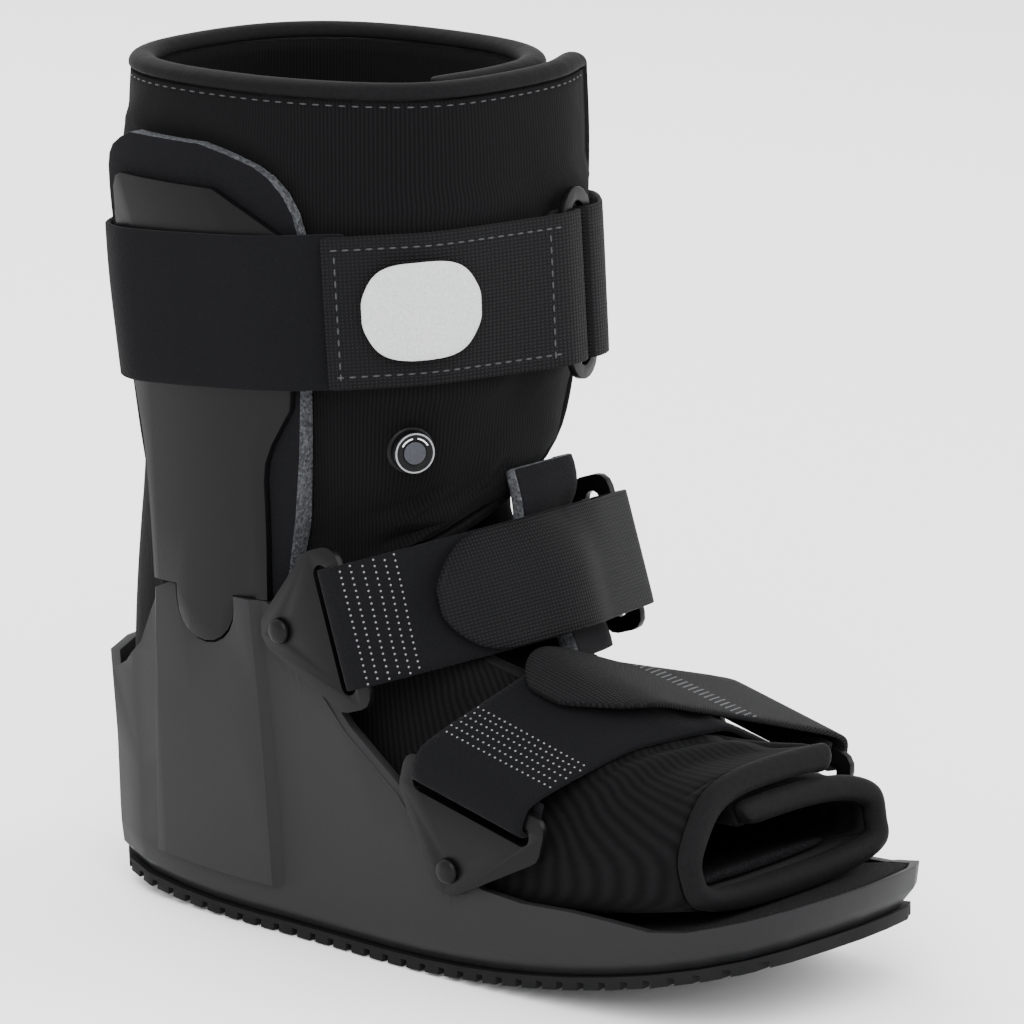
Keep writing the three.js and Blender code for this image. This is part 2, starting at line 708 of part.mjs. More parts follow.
// The line of taut webbing round a slice of the boot, clear of all that it lies on. Turns run from the
// near side (0) over the front or top (90) to the far side (180). It gives the distance from the hub.
function tautLine({ frame, hub, meshes, bars = [] }, side) {
  const hits = [...bars];
  const away = 4 * soleWidth;
  for (let turn = 0; turn < 360; turn += 1) {
    const [x, ahead] = [-Math.cos(radians(turn)), Math.sin(radians(turn))];
    const out = point(0, 0, 0).addScaledVector(frame.across, x).addScaledVector(frame.ahead, ahead);
    const from = inFrame(frame, 0, hub, side).addScaledVector(out, away);
    const hit = firstHit(from, out.clone().negate(), meshes);
    if (hit) hits.push(new THREE.Vector2(x, ahead).multiplyScalar(away - hit.distance / out.length()));
  }
  const grown = hits.flatMap((p) => circle(layGap, 8, p.x, p.y).map(([x, y]) => new THREE.Vector2(x, y)));
  const hull = convexHull(grown);
  return (turn) => {
    const ray = new THREE.Vector2(-Math.cos(radians(turn)), Math.sin(radians(turn)));
    let reach = 0;
    hull.forEach((a, i) => {
      const edge = hull[(i + 1) % hull.length].clone().sub(a);
      const cross = ray.cross(edge);
      if (Math.abs(cross) < 1e-9) return;
      const along = a.cross(edge) / cross;
      const share = a.cross(ray) / cross;
      if (along > 0 && share >= -1e-6 && share <= 1 + 1e-6) reach = Math.max(reach, along);
    });
    return reach;
  };
}

const strapRows = 3;

// The same for a width of cloth: it gives a place by its turn, its side and its height over the lines
// next to that side.
function tautCloth(lie, low, high) {
  const count = 2 * strapRows;
  const lines = Array.from({ length: count + 1 }, (_, i) => tautLine(lie, lerp(low, high, i / count)));
  return (turn, side, rise = 0) => {
    const at = clamp((side - low) / (high - low), 0, 1) * count;
    const close = lines.filter((_, i) => Math.abs(i - at) < 2.1);
    const reach = Math.max(...close.flatMap((line) => [-3, 0, 3].map((by) => line(turn + by)))) + rise;
    return new THREE.Vector2(-Math.cos(radians(turn)) * reach, lie.hub + Math.sin(radians(turn)) * reach);
  };
}

const turnOf = (p, hub) => THREE.MathUtils.radToDeg(Math.atan2(p.y - hub, -p.x));

// Webbing that lies on pieces of the boot, from a fold (if it has one) to its last turn. outward is 1
// where the turns rise along it, and -1 where they fall.
function webbing({ lie, width, fold = [], firstTurn, lastTurn, outward, roundEnd = false }) {
  const cloth = tautCloth(lie, -width / 2 - 1, width / 2 + 1);
  const first = fold.length ? turnOf(fold[fold.length - 1], lie.hub) + outward * 3 : firstTurn;
  const stops = Math.max(1, Math.round(Math.abs(lastTurn - first) / 6));
  const columns = fold.length + stops;
  const turnAt = (c) => lerp(first, lastTurn, (c - fold.length) / stops);
  const tip = cloth(lastTurn, 0);
  const narrowAt = (c) => {
    if (!roundEnd || c < fold.length) return 1;
    const toEnd = cloth(turnAt(c), 0).distanceTo(tip) / (width / 2);
    return toEnd < 1 ? Math.max(0.3, Math.sqrt(1 - (1 - toEnd) ** 2)) : 1;
  };
  const place = (c, r) => {
    const side = (r / strapRows - 0.5) * width * narrowAt(c);
    return { side, at: c < fold.length ? fold[c].clone() : cloth(turnAt(c), side) };
  };
  return sheet(columns, strapRows, (u, v, face, c, r) => {
    const { side, at } = place(c, r);
    if (face === 1) {
      const before = at.clone().sub(place(Math.max(0, c - 1), r).at);
      const after = place(Math.min(columns, c + 1), r).at.sub(at);
      if (c === 0) before.copy(after);
      if (c === columns) after.copy(before);
      const into = before.normalize();
      const mid = into.clone().add(after.normalize()).normalize();
      const thick = (outward * strapThickness) / Math.max(0.7, mid.dot(into));
      at.add(new THREE.Vector2(-mid.y, mid.x).multiplyScalar(thick));
    }
    return inFrame(lie.frame, at.x, at.y, side);
  });
}

// The places of a bar in a frame's plane: at is its middle, along the way that webbing leaves it and
// out its outer side.
const barSpot = ({ at, along, out }, a, o) => at.clone().addScaledVector(along, a).addScaledVector(out, o);

const barCorners = (bar) => [-1, 1].map((end) => barSpot(bar, end * bar.halfBar, bracketThickness / 2));

// The fold of webbing round a bar, from its tail under the bar to the bar's outer corner.
function foldRound(bar) {
  const [under, beside] = [bracketThickness / 2 + layGap, bar.halfBar + layGap];
  const corner = 0.6;
  return [
    barSpot(bar, 2 * bar.halfBar, -under),
    barSpot(bar, 0, -under),
    barSpot(bar, corner - beside, -under),
    barSpot(bar, -beside, corner - under),
    barSpot(bar, -beside, under - corner),
    barSpot(bar, corner - beside, under),
    barSpot(bar, bar.halfBar, under),
  ];
}

// Outline of an upright or a pad: its table run as smooth edges, back edge first.
function stripOutline(table, middle, halfWidth, low, high) {
  const edge = (column, sign) => new THREE.SplineCurve(table.map((row) => new THREE.Vector2(
    middle + sign * row[column] * halfWidth,
    lerp(low, high, row.up),
  ))).getPoints(table.length + 4).map((p) => [p.x, p.y]);
  return [...edge('back', 1), ...edge('front', -1).reverse()];
}

// Outer face of an upright, which leans out from the socket and is bowed in plan.
function uprightFace(y, z) {
  const lean = Math.max(0, (z - shellTop) / (uprightTop - shellTop));
  return lerp(socketFace, uprightReach, lean) - (y - uprightCentre) ** 2 / (2 * uprightBow);
}

function sideSlab(side, inner, outer, outline) {
  const ys = outline.map(([y]) => y);
  const zs = outline.map(([, z]) => z);
  const [y0, y1, z0, z1] = [Math.min(...ys) - 2, Math.max(...ys) + 2, Math.min(...zs) - 2, Math.max(...zs) + 2];
  const slab = toSolid(sheet(10, 6, (u, v, face) => {
    const [y, z] = [lerp(y0, y1, u), lerp(z0, z1, v)];
    return point(side * (face === 1 ? outer(y, z) : inner(y, z)), y, z);
  }));
  return slab.intersect(crossPrism(outline, -soleWidth, soleWidth));
}

function buildUpright(side) {
  const body = stripOutline(uprightSections, uprightCentre, uprightWidth / 2, shellTop + gap, uprightTop);
  const plan = crossPrism(body, -soleWidth, soleWidth)
    .add(crossPrism(tongueOutline(0, shellTop + 2 * notchGap), -soleWidth, soleWidth));
  const [back, low] = [2 * legCentre, shellTop - 2 * tongueDepth];
  const around = [[0, low], [back, low], [back, uprightTop], [0, uprightTop]];
  const slab = sideSlab(side, (y, z) => uprightFace(y, z) - uprightThickness, uprightFace, around);
  return toGeometry(slab.intersect(plan));
}

function buildPad(side, liner) {
  const low = shellTop + 1;
  const outline = stripOutline(padSections, padCentre, padWidth / 2, low, padTop);
  const inner = (y, z) => {
    const hit = firstHit(point(side * 2 * soleWidth, y, z), point(-side, 0, 0), [liner]);
    return hit ? Math.abs(hit.point.x) + 1.5 * layGap : legWidth / 4;
  };
  const outer = (y, z) => Math.max(uprightFace(y, z) - uprightThickness - gap, inner(y, z) + 1.5);
  return toGeometry(sideSlab(side, inner, outer, outline));
}

function bracketOutline(width) {
  const halfEnd = slotWidth / 2 + barWidth;
  const halfLong = (width + slotSpare) / 2 + barWidth;
  const corner = barWidth;
  const disc = (x, y, radius) => circle(radius, 12, x, y).map(([a, b]) => new THREE.Vector2(a, b));
  return convexHull([
    ...disc(-bracketReach, bracketShift, bracketEar),
    ...[-1, 1].flatMap((sx) => [-1, 1].flatMap((sy) => disc(
      sx * (halfEnd - corner),
      sy * (halfLong - corner),
      corner,
    ))),
  ]);
}

function slotHole(x, halfWide, halfLong) {
  const hole = new THREE.Path();
  hole.moveTo(x - halfWide, -halfLong + halfWide);
  hole.absarc(x, -halfLong + halfWide, halfWide, Math.PI, 2 * Math.PI, false);
  hole.absarc(x, halfLong - halfWide, halfWide, 0, Math.PI, false);
  return hole;
}

// A bracket plate, from rivet to slot. Its shape lies in the strap's own coordinates.
function buildBracket({ side, slot, plateX }, { frame, width }) {
  const shape = new THREE.Shape(bracketOutline(width));
  shape.holes.push(slotHole(0, slotWidth / 2, (width + slotSpare) / 2));
  const rivetHole = new THREE.Path();
  rivetHole.absarc(-bracketReach, bracketShift, rivetShank + gap, 0, 2 * Math.PI, false);
  shape.holes.push(rivetHole);
  const x = side > 0 ? plateX : -plateX - bracketThickness;
  return plate(shape, bracketThickness, frame.ahead, frame.side, point(1, 0, 0))
    .translate(x, slot.y, slot.z);
}

// A domed rivet through a bracket and the shell's wall.
function buildRivet({ side, rivet, plateX }) {
  const head = bracketThickness + gap;
  const dome = [];
  for (let i = 0; i < 3; i += 1) {
    const turn = (i / 3) * (Math.PI / 2);
    dome.push(new THREE.Vector2(rivetRadius * Math.cos(turn), head + rivetDome * (0.35 + 0.65 * Math.sin(turn))));
  }
  const profile = [
    new THREE.Vector2(0, gap - shellWall),
    new THREE.Vector2(rivetShank, gap - shellWall),
    new THREE.Vector2(rivetShank, head),
    new THREE.Vector2(rivetRadius, head),
    ...dome,
    new THREE.Vector2(0, head + rivetDome),
  ];
  const solid = new THREE.LatheGeometry(profile, 12);
  solid.applyMatrix4(new THREE.Matrix4().makeRotationZ(-side * (Math.PI / 2)));
  return solid.translate(side * plateX, rivet.y, rivet.z);
}

// The bar of a bracket that a foot strap folds round.
const bracketBar = ({ side, slot }) => ({
  at: new THREE.Vector2(slot.x, (slotWidth + barWidth) / 2),
  along: new THREE.Vector2(0, 1),
  out: new THREE.Vector2(side, 0),
  halfBar: barWidth / 2,
});

const footHub = -12;

// A foot strap from the near slot over the foot, and its end from the far slot back over the strap.
function buildFootStrap(place, meshes, side) {
  const bar = bracketBar(place.brackets[side < 0 ? 0 : 1]);
  const frame = side < 0 ? place.frame : place.endFrame;
  return webbing({
    lie: { frame, hub: footHub, meshes, bars: barCorners(bar) },
    width: side < 0 ? place.width : place.width - 1,
    fold: foldRound(bar),
    lastTurn: side < 0 ? place.lastTurn : place.tabTurn,
    outward: -side,
    roundEnd: side > 0,
  });
}

// A foam pad under the ankle strap, on the far half of the instep, thicker towards its lower edge.
function buildInstepPad(place, meshes) {
  const [low, high] = [-0.73 * place.width, 0.9 * place.width];
  const cloth = tautCloth({ frame: place.frame, hub: footHub, meshes }, low, high);
  return sheet(8, 5, (u, v, face) => {
    const side = lerp(low, high, v);
    const thick = instepPadThickness * lerp(1.5, 0.8, v);
    const at = cloth(lerp(90, 150, u), side, face * thick);
    return inFrame(place.frame, at.x, at.y, side);
  });
}

const legFrame = {
  middle: point(0, legCentre, legStrapHeight - Math.sin(radians(legStrapTilt)) * legCentre),
  ahead: point(0, -Math.cos(radians(legStrapTilt)), Math.sin(radians(legStrapTilt))),
  side: point(0, Math.sin(radians(legStrapTilt)), Math.cos(radians(legStrapTilt))),
  across: point(1, 0, 0),
};

// The leg strap's fuzzy cuff, from the far side round the back and the near side to the front.
const cuffStart = -206;
const cuffEnd = 44;

function buildCuff(meshes) {
  const lie = { frame: legFrame, hub: 0, meshes };
  return webbing({ lie, width: legStrapWidth, firstTurn: cuffStart, lastTurn: cuffEnd, outward: 1 });
}

// The ring's place: over the far front of the leg, clear of the webbing that runs under its bars.
function ringPlace(meshes) {
  const taut = tautCloth({ frame: legFrame, hub: 0, meshes }, -legStrapWidth / 2, legStrapWidth / 2);
  const along = taut(ringTurn + 9, 0).sub(taut(ringTurn - 9, 0)).normalize();
  const out = new THREE.Vector2(-along.y, along.x);
  const stand = strapThickness + layGap + bracketThickness / 2;
  return { at: taut(ringTurn, 0).addScaledVector(out, stand), along, out };
}

function buildRing({ at, along, out }) {
  const halfLong = (legStrapWidth + slotSpare) / 2 + ringBar;
  const halfWide = ringSlot / 2 + ringBar;
  const shape = new THREE.Shape();
  shape.moveTo(-halfWide, -halfLong + halfWide);
  shape.absarc(0, -halfLong + halfWide, halfWide, Math.PI, 2 * Math.PI, false);
  shape.absarc(0, halfLong - halfWide, halfWide, 0, Math.PI, false);
  shape.holes.push(slotHole(0, ringSlot / 2, halfLong - ringBar));
  const toSpace = (v) => point(v.x, 0, 0).addScaledVector(legFrame.ahead, v.y);
  const low = at.clone().addScaledVector(out, -bracketThickness / 2);
  const corner = inFrame(legFrame, low.x, low.y, 0);
  return plate(shape, bracketThickness, toSpace(along), legFrame.side, toSpace(out))
    .translate(corner.x, corner.y, corner.z);
}

// Webbing folded round one bar of the ring: sign -1 is the near bar, 1 the far bar.
function buildRingWebbing(ring, sign, lastTurn, meshes) {
  const bar = {
    at: ring.at.clone().addScaledVector(ring.along, (sign * (ringSlot + ringBar)) / 2),
    along: ring.along.clone().multiplyScalar(sign),
    out: ring.out,
    halfBar: ringBar / 2,
  };
  return webbing({
    lie: { frame: legFrame, hub: 0, meshes, bars: barCorners(bar) },
    width: legStrapWidth - 1,
    fold: foldRound(bar),
    lastTurn,
    outward: sign,
  });
}

// The oval patch on the leg strap.
function buildPatch(meshes) {
  const cloth = tautCloth({ frame: legFrame, hub: 0, meshes }, -patchHeight / 2, patchHeight / 2);
  const halfTurn = THREE.MathUtils.radToDeg(patchWidth / 2 / cloth(patchTurn, 0).length());
  return sheet(12, 3, (u, v, face) => {
    const x = 2 * u - 1;
    const side = (v - 0.5) * patchHeight * Math.max(0.3, (1 - Math.abs(x) ** 3.2) ** (1 / 2.4));
    const at = cloth(patchTurn + x * halfTurn, side, face * patchThickness);
    return inFrame(legFrame, at.x, at.y, side);
  });
}

// The fleece pad that shows inside the toe opening, laid on the liner's floor.
function buildSolePad(liner) {
  const [front, back] = [-0.36 * soleLength, 0.36 * soleLength];
  return sheet(12, 4, (u, v, side) => {
    const y = lerp(front, back, u);
    const end = Math.min(1, (1 - u) * 6);
    const half = (solePadWidth / 2) * Math.sqrt(1 - (1 - end) ** 2 * 0.8) * lerp(1, 0.86, u);
    const x = lerp(-half, half, v);
    const above = underside + rockerRise(y) + shellFloor + footbedThickness + 3 * linerWall;
    const hit = firstHit(point(x, y, above), point(0, 0, -1), [liner]);
    const low = (hit ? hit.point.z : above) + 2 * gap;
    const thin = Math.abs(v - 0.5) > 0.4 ? 0.6 : 1;
    return point(x, y, low + side * solePadThickness * thin);
  });
}

// The air valve's place on the near front of the leg.
function valvePlace(liner) {
  const out = point(-Math.cos(radians(valveTurn)), -Math.sin(radians(valveTurn)), 0);
  const away = 2 * soleWidth;
  const from = point(0, legCentre, valveZ).addScaledVector(out, away);
  const reaches = [-1, 0, 1].flatMap((i) => [-1, 0, 1].map((j) => {
    const shift = point(-out.y, out.x, 0).multiplyScalar(i * valveRadius).add(point(0, 0, j * valveRadius));
    return away - firstHit(from.clone().add(shift), out.clone().negate(), [liner]).distance;
  }));
  const at = point(0, legCentre, valveZ).addScaledVector(out, Math.max(...reaches) + gap);
  return { at, turn: Math.atan2(out.y, out.x) };
}

function turned(profile, sides) {
  const solid = new THREE.LatheGeometry(profile.map(([r, h]) => new THREE.Vector2(r, h)), sides);
  // The lathe's axis becomes X.
  return solid.applyMatrix4(new THREE.Matrix4().makeRotationZ(-Math.PI / 2));
}

const valveSocket = 0.5 * valveRadius;
const valveSocketFloor = 0.4 * valveCollar;

function buildValveCollar() {
  return turned([
    [0, 0], [valveRadius + 1, 0], [valveRadius + 1, valveCollar * 0.6], [valveRadius + 0.4, valveCollar],
    [valveSocket + gap, valveCollar], [valveSocket + gap, valveSocketFloor], [0, valveSocketFloor],
  ], 24);
}

function buildValveDial() {
  const low = valveCollar + gap;
  const top = low + valveRise;
  return turned([
    [0, valveSocketFloor + gap], [valveSocket, valveSocketFloor + gap], [valveSocket, low],
    [valveRadius, low], [valveRadius, top - 0.8], [valveRadius - 0.8, top],
    [0.62 * valveRadius, top], [0.58 * valveRadius, top - 0.5], [0, top - 0.5],
  ], 24);
}

const blackFabric = { color: 0x16171a, roughness: 0.95, metalness: 0 };
const fuzzyLoop = { color: 0x1b1c1f, roughness: 1, metalness: 0 };
const blackWebbing = { color: 0x141518, roughness: 0.85, metalness: 0 };
const greyFoam = { color: 0x4b4d51, roughness: 0.95, metalness: 0 };
const greyShell = { color: 0x46474a, roughness: 0.6, metalness: 0 };
const blackRubber = { color: 0x101113, roughness: 0.85, metalness: 0 };
const blackPlastic = { color: 0x151619, roughness: 0.45, metalness: 0 };
const blackFoam = { color: 0x1d1e20, roughness: 0.9, metalness: 0 };
const fleece = { color: 0x202124, roughness: 1, metalness: 0 };
const greyPatch = { color: 0xcbcccd, roughness: 1, metalness: 0 };

const boot = new THREE.Group();

function addPiece(name, geometry, look, place) {
  const mesh = new THREE.Mesh(geometry, new THREE.MeshStandardMaterial(look));
  mesh.name = name;
  if (place) {
    mesh.position.copy(place.at);
    mesh.rotation.z = place.turn;
  }
  mesh.updateMatrixWorld(true);
  boot.add(mesh);
  return mesh;
}

// Each piece is placed before what lies on it.
addPiece('outsole', buildOutsole(), blackRubber);
addPiece('shell', buildShell(), greyShell);
addPiece('footbed', buildFootbed(), blackFoam);
const liner = addPiece('liner', buildLiner(), blackFabric);
const binding = addPiece('edge_binding', buildBinding(liner), blackWebbing);
addPiece('sole_pad', buildSolePad(liner), fleece);

const sides = [{ side: -1, label: 'near' }, { side: 1, label: 'far' }];
const legParts = [liner, binding];
sides.forEach(({ side, label }) => {
  legParts.push(addPiece(`upright_pad_${label}`, buildPad(side, liner), greyFoam));
  legParts.push(addPiece(`upright_${label}`, buildUpright(side), blackPlastic));
});

const instepPad = addPiece('instep_pad', buildInstepPad(bracketPlaces[0], [liner, binding]), greyFoam);
bracketPlaces.forEach((place) => {
  const plates = place.brackets.map((bracket, i) => {
    addPiece(`${place.name}_rivet_${sides[i].label}`, buildRivet(bracket), blackPlastic);
    return addPiece(`${place.name}_bracket_${sides[i].label}`, buildBracket(bracket, place), blackPlastic);
  });
  const under = place.name === 'ankle' ? [liner, binding, instepPad] : [liner, binding];
  const strap = addPiece(`${place.name}_strap`, buildFootStrap(place, [...under, plates[0]], -1), fuzzyLoop);
  const over = [...under, strap, plates[1]];
  addPiece(`${place.name}_strap_tab`, buildFootStrap(place, over, 1), blackWebbing);
});

const cuff = addPiece('leg_strap', buildCuff(legParts), fuzzyLoop);
const ringAt = ringPlace([liner, binding]);
const ring = addPiece('leg_ring', buildRing(ringAt), blackPlastic);
const overLeg = [...legParts, cuff, ring];
const tab = addPiece('leg_strap_tab', buildRingWebbing(ringAt, -1, 38, overLeg), blackWebbing);
addPiece('leg_strap_loop', buildRingWebbing(ringAt, 1, 160, overLeg), blackWebbing);
addPiece('leg_patch', buildPatch([tab]), greyPatch);

const valveAt = valvePlace(liner);
addPiece('valve_collar', buildValveCollar(), blackPlastic, valveAt);
addPiece('valve_dial', buildValveDial(), blackPlastic, valveAt);

export default boot;
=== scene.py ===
import math
import bpy
from mathutils import Matrix, Vector
from mathutils.bvhtree import BVHTree


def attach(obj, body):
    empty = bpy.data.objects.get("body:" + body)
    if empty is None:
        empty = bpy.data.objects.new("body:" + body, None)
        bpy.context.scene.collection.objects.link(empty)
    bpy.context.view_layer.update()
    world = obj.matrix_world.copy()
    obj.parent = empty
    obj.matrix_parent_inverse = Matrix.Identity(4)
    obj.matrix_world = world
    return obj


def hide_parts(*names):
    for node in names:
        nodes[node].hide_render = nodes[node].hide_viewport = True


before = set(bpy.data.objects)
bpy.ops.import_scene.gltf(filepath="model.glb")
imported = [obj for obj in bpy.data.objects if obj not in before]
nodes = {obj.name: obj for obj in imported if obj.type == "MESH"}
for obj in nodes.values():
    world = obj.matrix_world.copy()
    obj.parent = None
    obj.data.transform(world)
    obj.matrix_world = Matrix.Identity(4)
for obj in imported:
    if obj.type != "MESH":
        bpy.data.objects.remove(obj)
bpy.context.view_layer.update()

mm = 0.001


def hexColor(text, alpha=1.0):
    channels = [int(text[i:i + 2], 16) / 255 for i in (1, 3, 5)]
    linear = [c / 12.92 if c <= 0.04045 else ((c + 0.055) / 1.055) ** 2.4 for c in channels]
    return (*linear, alpha)


def addNode(tree, kind, settings=None, links=None):
    node = tree.nodes.new(kind)
    for key, value in (settings or {}).items():
        if key in node.inputs:
            node.inputs[key].default_value = value
        else:
            setattr(node, key, value)
    for key, (source, output) in (links or {}).items():
        tree.links.new(source.outputs[output], node.inputs[key])
    return node


def startMaterial(name, rough, ior=1.46, sheen=0.0, sheenRough=0.5, shine=0.5):
    material = bpy.data.materials.new(name)
    material.use_nodes = True
    tree = material.node_tree
    shader = tree.nodes["Principled BSDF"]
    shader.inputs["Roughness"].default_value = rough
    shader.inputs["IOR"].default_value = ior
    shader.inputs["Specular IOR Level"].default_value = shine
    shader.inputs["Sheen Weight"].default_value = sheen
    shader.inputs["Sheen Roughness"].default_value = sheenRough
    return material, tree, shader


def bumpFrom(tree, shader, height, output, distance, strength=1.0, before=None):
    bump = addNode(tree, "ShaderNodeBump", {"Strength": strength, "Distance": distance},
                   {"Height": (height, output)})
    if before:
        tree.links.new(before.outputs["Normal"], bump.inputs["Normal"])
    tree.links.new(bump.outputs["Normal"], shader.inputs["Normal"])
    return bump


def pickOnly(*objects):
    if bpy.context.object and bpy.context.object.mode != "OBJECT":
        bpy.ops.object.mode_set(mode="OBJECT")
    bpy.ops.object.select_all(action="DESELECT")
    for obj in objects:
        obj.select_set(True)
    if objects:
        bpy.context.view_layer.objects.active = objects[0]


def copyNode(node, name, quads=False):
    # a copy of a CAD solid, with its loose triangles merged
    piece = bpy.data.objects.new(name, nodes[node].data.copy())
    bpy.context.scene.collection.objects.link(piece)
    piece.data.materials.clear()
    pickOnly(piece)
    bpy.ops.object.mode_set(mode="EDIT")
    bpy.ops.mesh.select_all(action="SELECT")
    bpy.ops.mesh.remove_doubles(threshold=0.00001)
    if quads:
        bpy.ops.mesh.tris_convert_to_quads(face_threshold=math.radians(60), shape_threshold=math.radians(80))
    bpy.ops.mesh.normals_make_consistent(inside=False)
    bpy.ops.object.mode_set(mode="OBJECT")
    return piece


def useModifier(piece, kind, **settings):
    pickOnly(piece)
    modifier = piece.modifiers.new(kind.lower(), kind)
    for key, value in settings.items():
        setattr(modifier, key, value)
    bpy.ops.object.modifier_apply(modifier=modifier.name)


def creaseSharp(piece, degrees, amount):
    # sharp rims keep their line when the piece is subdivided
    attribute = piece.data.attributes.get("crease_edge") or piece.data.attributes.new("crease_edge", "FLOAT", "EDGE")
    normals = {}
    for polygon in piece.data.polygons:
        for key in polygon.edge_keys:
            normals.setdefault(key, []).append(polygon.normal)
    limit = math.cos(math.radians(degrees))
    for edge in piece.data.edges:
        pair = normals.get(tuple(sorted(edge.vertices)), [])
        if len(pair) == 2 and pair[0].dot(pair[1]) < limit:
            attribute.data[edge.index].value = amount


def subdivide(piece, levels):
    useModifier(piece, "SUBSURF", levels=levels, render_levels=levels, boundary_smooth="PRESERVE_CORNERS")


def smooth(piece, degrees=None):
    pickOnly(piece)
    if degrees is None:
        bpy.ops.object.shade_smooth()
    else:
        bpy.ops.object.shade_smooth_by_angle(angle=math.radians(degrees))


def bevelEdges(piece, width, segments=2, degrees=30, material=-1):
    useModifier(piece, "BEVEL", width=width * mm, segments=segments, limit_method="ANGLE",
                angle_limit=math.radians(degrees), material=material, use_clamp_overlap=True)


def finishPiece(piece, stands=(), body="boot", materials=()):
    for material in materials:
        piece.data.materials.append(material)
    if stands:
        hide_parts(*stands)
    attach(piece, body)
    return piece


def treeOf(piece):
    mesh = piece.data
    mesh.calc_loop_triangles()
    points = [piece.matrix_world @ v.co for v in mesh.vertices]
    return BVHTree.FromPolygons(points, [tuple(t.vertices) for t in mesh.loop_triangles])


# how each strap lies, in millimetres as in the part
def strapLie(slant, through, skew, rise, hub):
    a = math.radians(slant)
    across = Vector((1, -skew, rise))
    return {
        "ahead": Vector((0, -math.cos(a), math.sin(a))), "side": Vector((0, math.sin(a), math.cos(a))),
        "across": across, "middle": Vector(through) - across * through[0], "hub": hub,
    }


lies = {
    "leg": strapLie(4, (0, 65, 203.5 - math.sin(math.radians(4)) * 65), 0, 0, 0),
    "ankle": strapLie(18.4, (-57.9, 15.5, 105), 0.0985, 0.0385, -12),
    "ankleEnd": strapLie(18.4, (58.9, 4, 109.5), 0.1, 0.0385, -12),
    "forefoot": strapLie(75.8, (-57.6, -38.5, 58), 0.238, 0.0086, -12),
    "forefootEnd": strapLie(75.8, (58.1, -66, 59), 0.33, 0.0086, -12),
    "liner": strapLie(0, (0, 65, 132), 0, 0, 0),
}


def liePoint(lie, x, ahead, side):
    return (lie["middle"] + lie["across"] * x + lie["ahead"] * ahead + lie["side"] * side) * mm


def lieCoords(lie, co):
    # turn in degrees, reach and side of a point, in the strap's own coordinates
    away = co / mm - lie["middle"]
    x = away.x
    rest = away - lie["across"] * x
    ahead = rest.dot(lie["ahead"]) - lie["hub"]
    return math.degrees(math.atan2(ahead, -x)), math.hypot(x, ahead), rest.dot(lie["side"])


def onSurface(tree, lie, turn, side):
    # the outermost point of a surface at a turn and a side
    out = (lie["across"] * -math.cos(math.radians(turn))
           + lie["ahead"] * math.sin(math.radians(turn))).normalized()
    start = liePoint(lie, 0, lie["hub"], side) + out * 0.4
    hit, normal, _, _ = tree.ray_cast(start, -out)
    if hit is None:
        return None
    return hit, normal if normal.dot(out) > 0 else -normal


def wrapUv(piece, lie, radius):
    # lays a fabric's length and width along the way it is wrapped, in metres
    layer = piece.data.uv_layers.new(name="cloth")
    for polygon in piece.data.polygons:
        found = [lieCoords(lie, piece.data.vertices[piece.data.loops[i].vertex_index].co) for i in polygon.loop_indices]
        turns = [turn for turn, _, _ in found]
        if max(turns) - min(turns) > 180:
            turns = [turn + 360 if turn < 0 else turn for turn in turns]
        for i, turn, (_, _, side) in zip(polygon.loop_indices, turns, found):
            layer.data[i].uv = (math.radians(turn) * radius * mm, side * mm)


def knitFabric():
    # fine rib knit laminated to foam: matt black soft ribs 1.1 mm apart, drawn a little coarse so that they show
    material, tree, shader = startMaterial("ribKnitOverFoam", 0.95, sheen=0.02, sheenRough=0.45, shine=0.04)
    uv = addNode(tree, "ShaderNodeUVMap", {"uv_map": "cloth"})
    place = addNode(tree, "ShaderNodeMapping", {}, {"Vector": (uv, "UV")})
    ribs = addNode(tree, "ShaderNodeTexWave",
                   {"wave_type": "BANDS", "bands_direction": "X", "Scale": 290, "Distortion": 0.6,
                     "Detail": 1.0, "Detail Scale": 3.0},
                   {"Vector": (place, "Vector")})
    loops = addNode(tree, "ShaderNodeTexWave",
                    {"wave_type": "BANDS", "bands_direction": "Y", "Scale": 300, "Distortion": 0.8},
                    {"Vector": (place, "Vector")})
    body = addNode(tree, "ShaderNodeTexCoord")
    cloud = addNode(tree, "ShaderNodeTexNoise", {"Scale": 45, "Detail": 3}, {"Vector": (body, "Object")})
    tint = addNode(tree, "ShaderNodeMix",
                   {"data_type": "RGBA", "A": hexColor("#09090a"), "B": hexColor("#101011")},
                   {"Factor": (ribs, "Fac")})
    tree.links.new(tint.outputs[2], shader.inputs["Base Color"])
    both = addNode(tree, "ShaderNodeMath", {"operation": "MULTIPLY_ADD"}, {0: (loops, "Fac"), 2: (ribs, "Fac")})
    both.inputs[1].default_value = 0.35
    fine = bumpFrom(tree, shader, both, 0, 0.0002, 0.25)
    bumpFrom(tree, shader, cloud, "Fac", 0.0025, 0.35, before=fine)
    return material


def smoothTape():
    # satin-faced bias tape
    material, tree, shader = startMaterial("satinBiasTape", 0.6, sheen=0.01, shine=0.03)
    body = addNode(tree, "ShaderNodeTexCoord")
    fibre = addNode(tree, "ShaderNodeTexNoise", {"Scale": 900, "Detail": 4}, {"Vector": (body, "Object")})
    puckers = addNode(tree, "ShaderNodeTexNoise", {"Scale": 160, "Detail": 2}, {"Vector": (body, "Object")})
    tint = addNode(tree, "ShaderNodeMix",
                   {"data_type": "RGBA", "A": hexColor("#0b0b0c"), "B": hexColor("#141415")},
                   {"Factor": (fibre, "Fac")})
    tree.links.new(tint.outputs[2], shader.inputs["Base Color"])
    fine = bumpFrom(tree, shader, fibre, "Fac", 0.0002, 0.5)
    bumpFrom(tree, shader, puckers, "Fac", 0.0008, 0.45, before=fine)
    return material


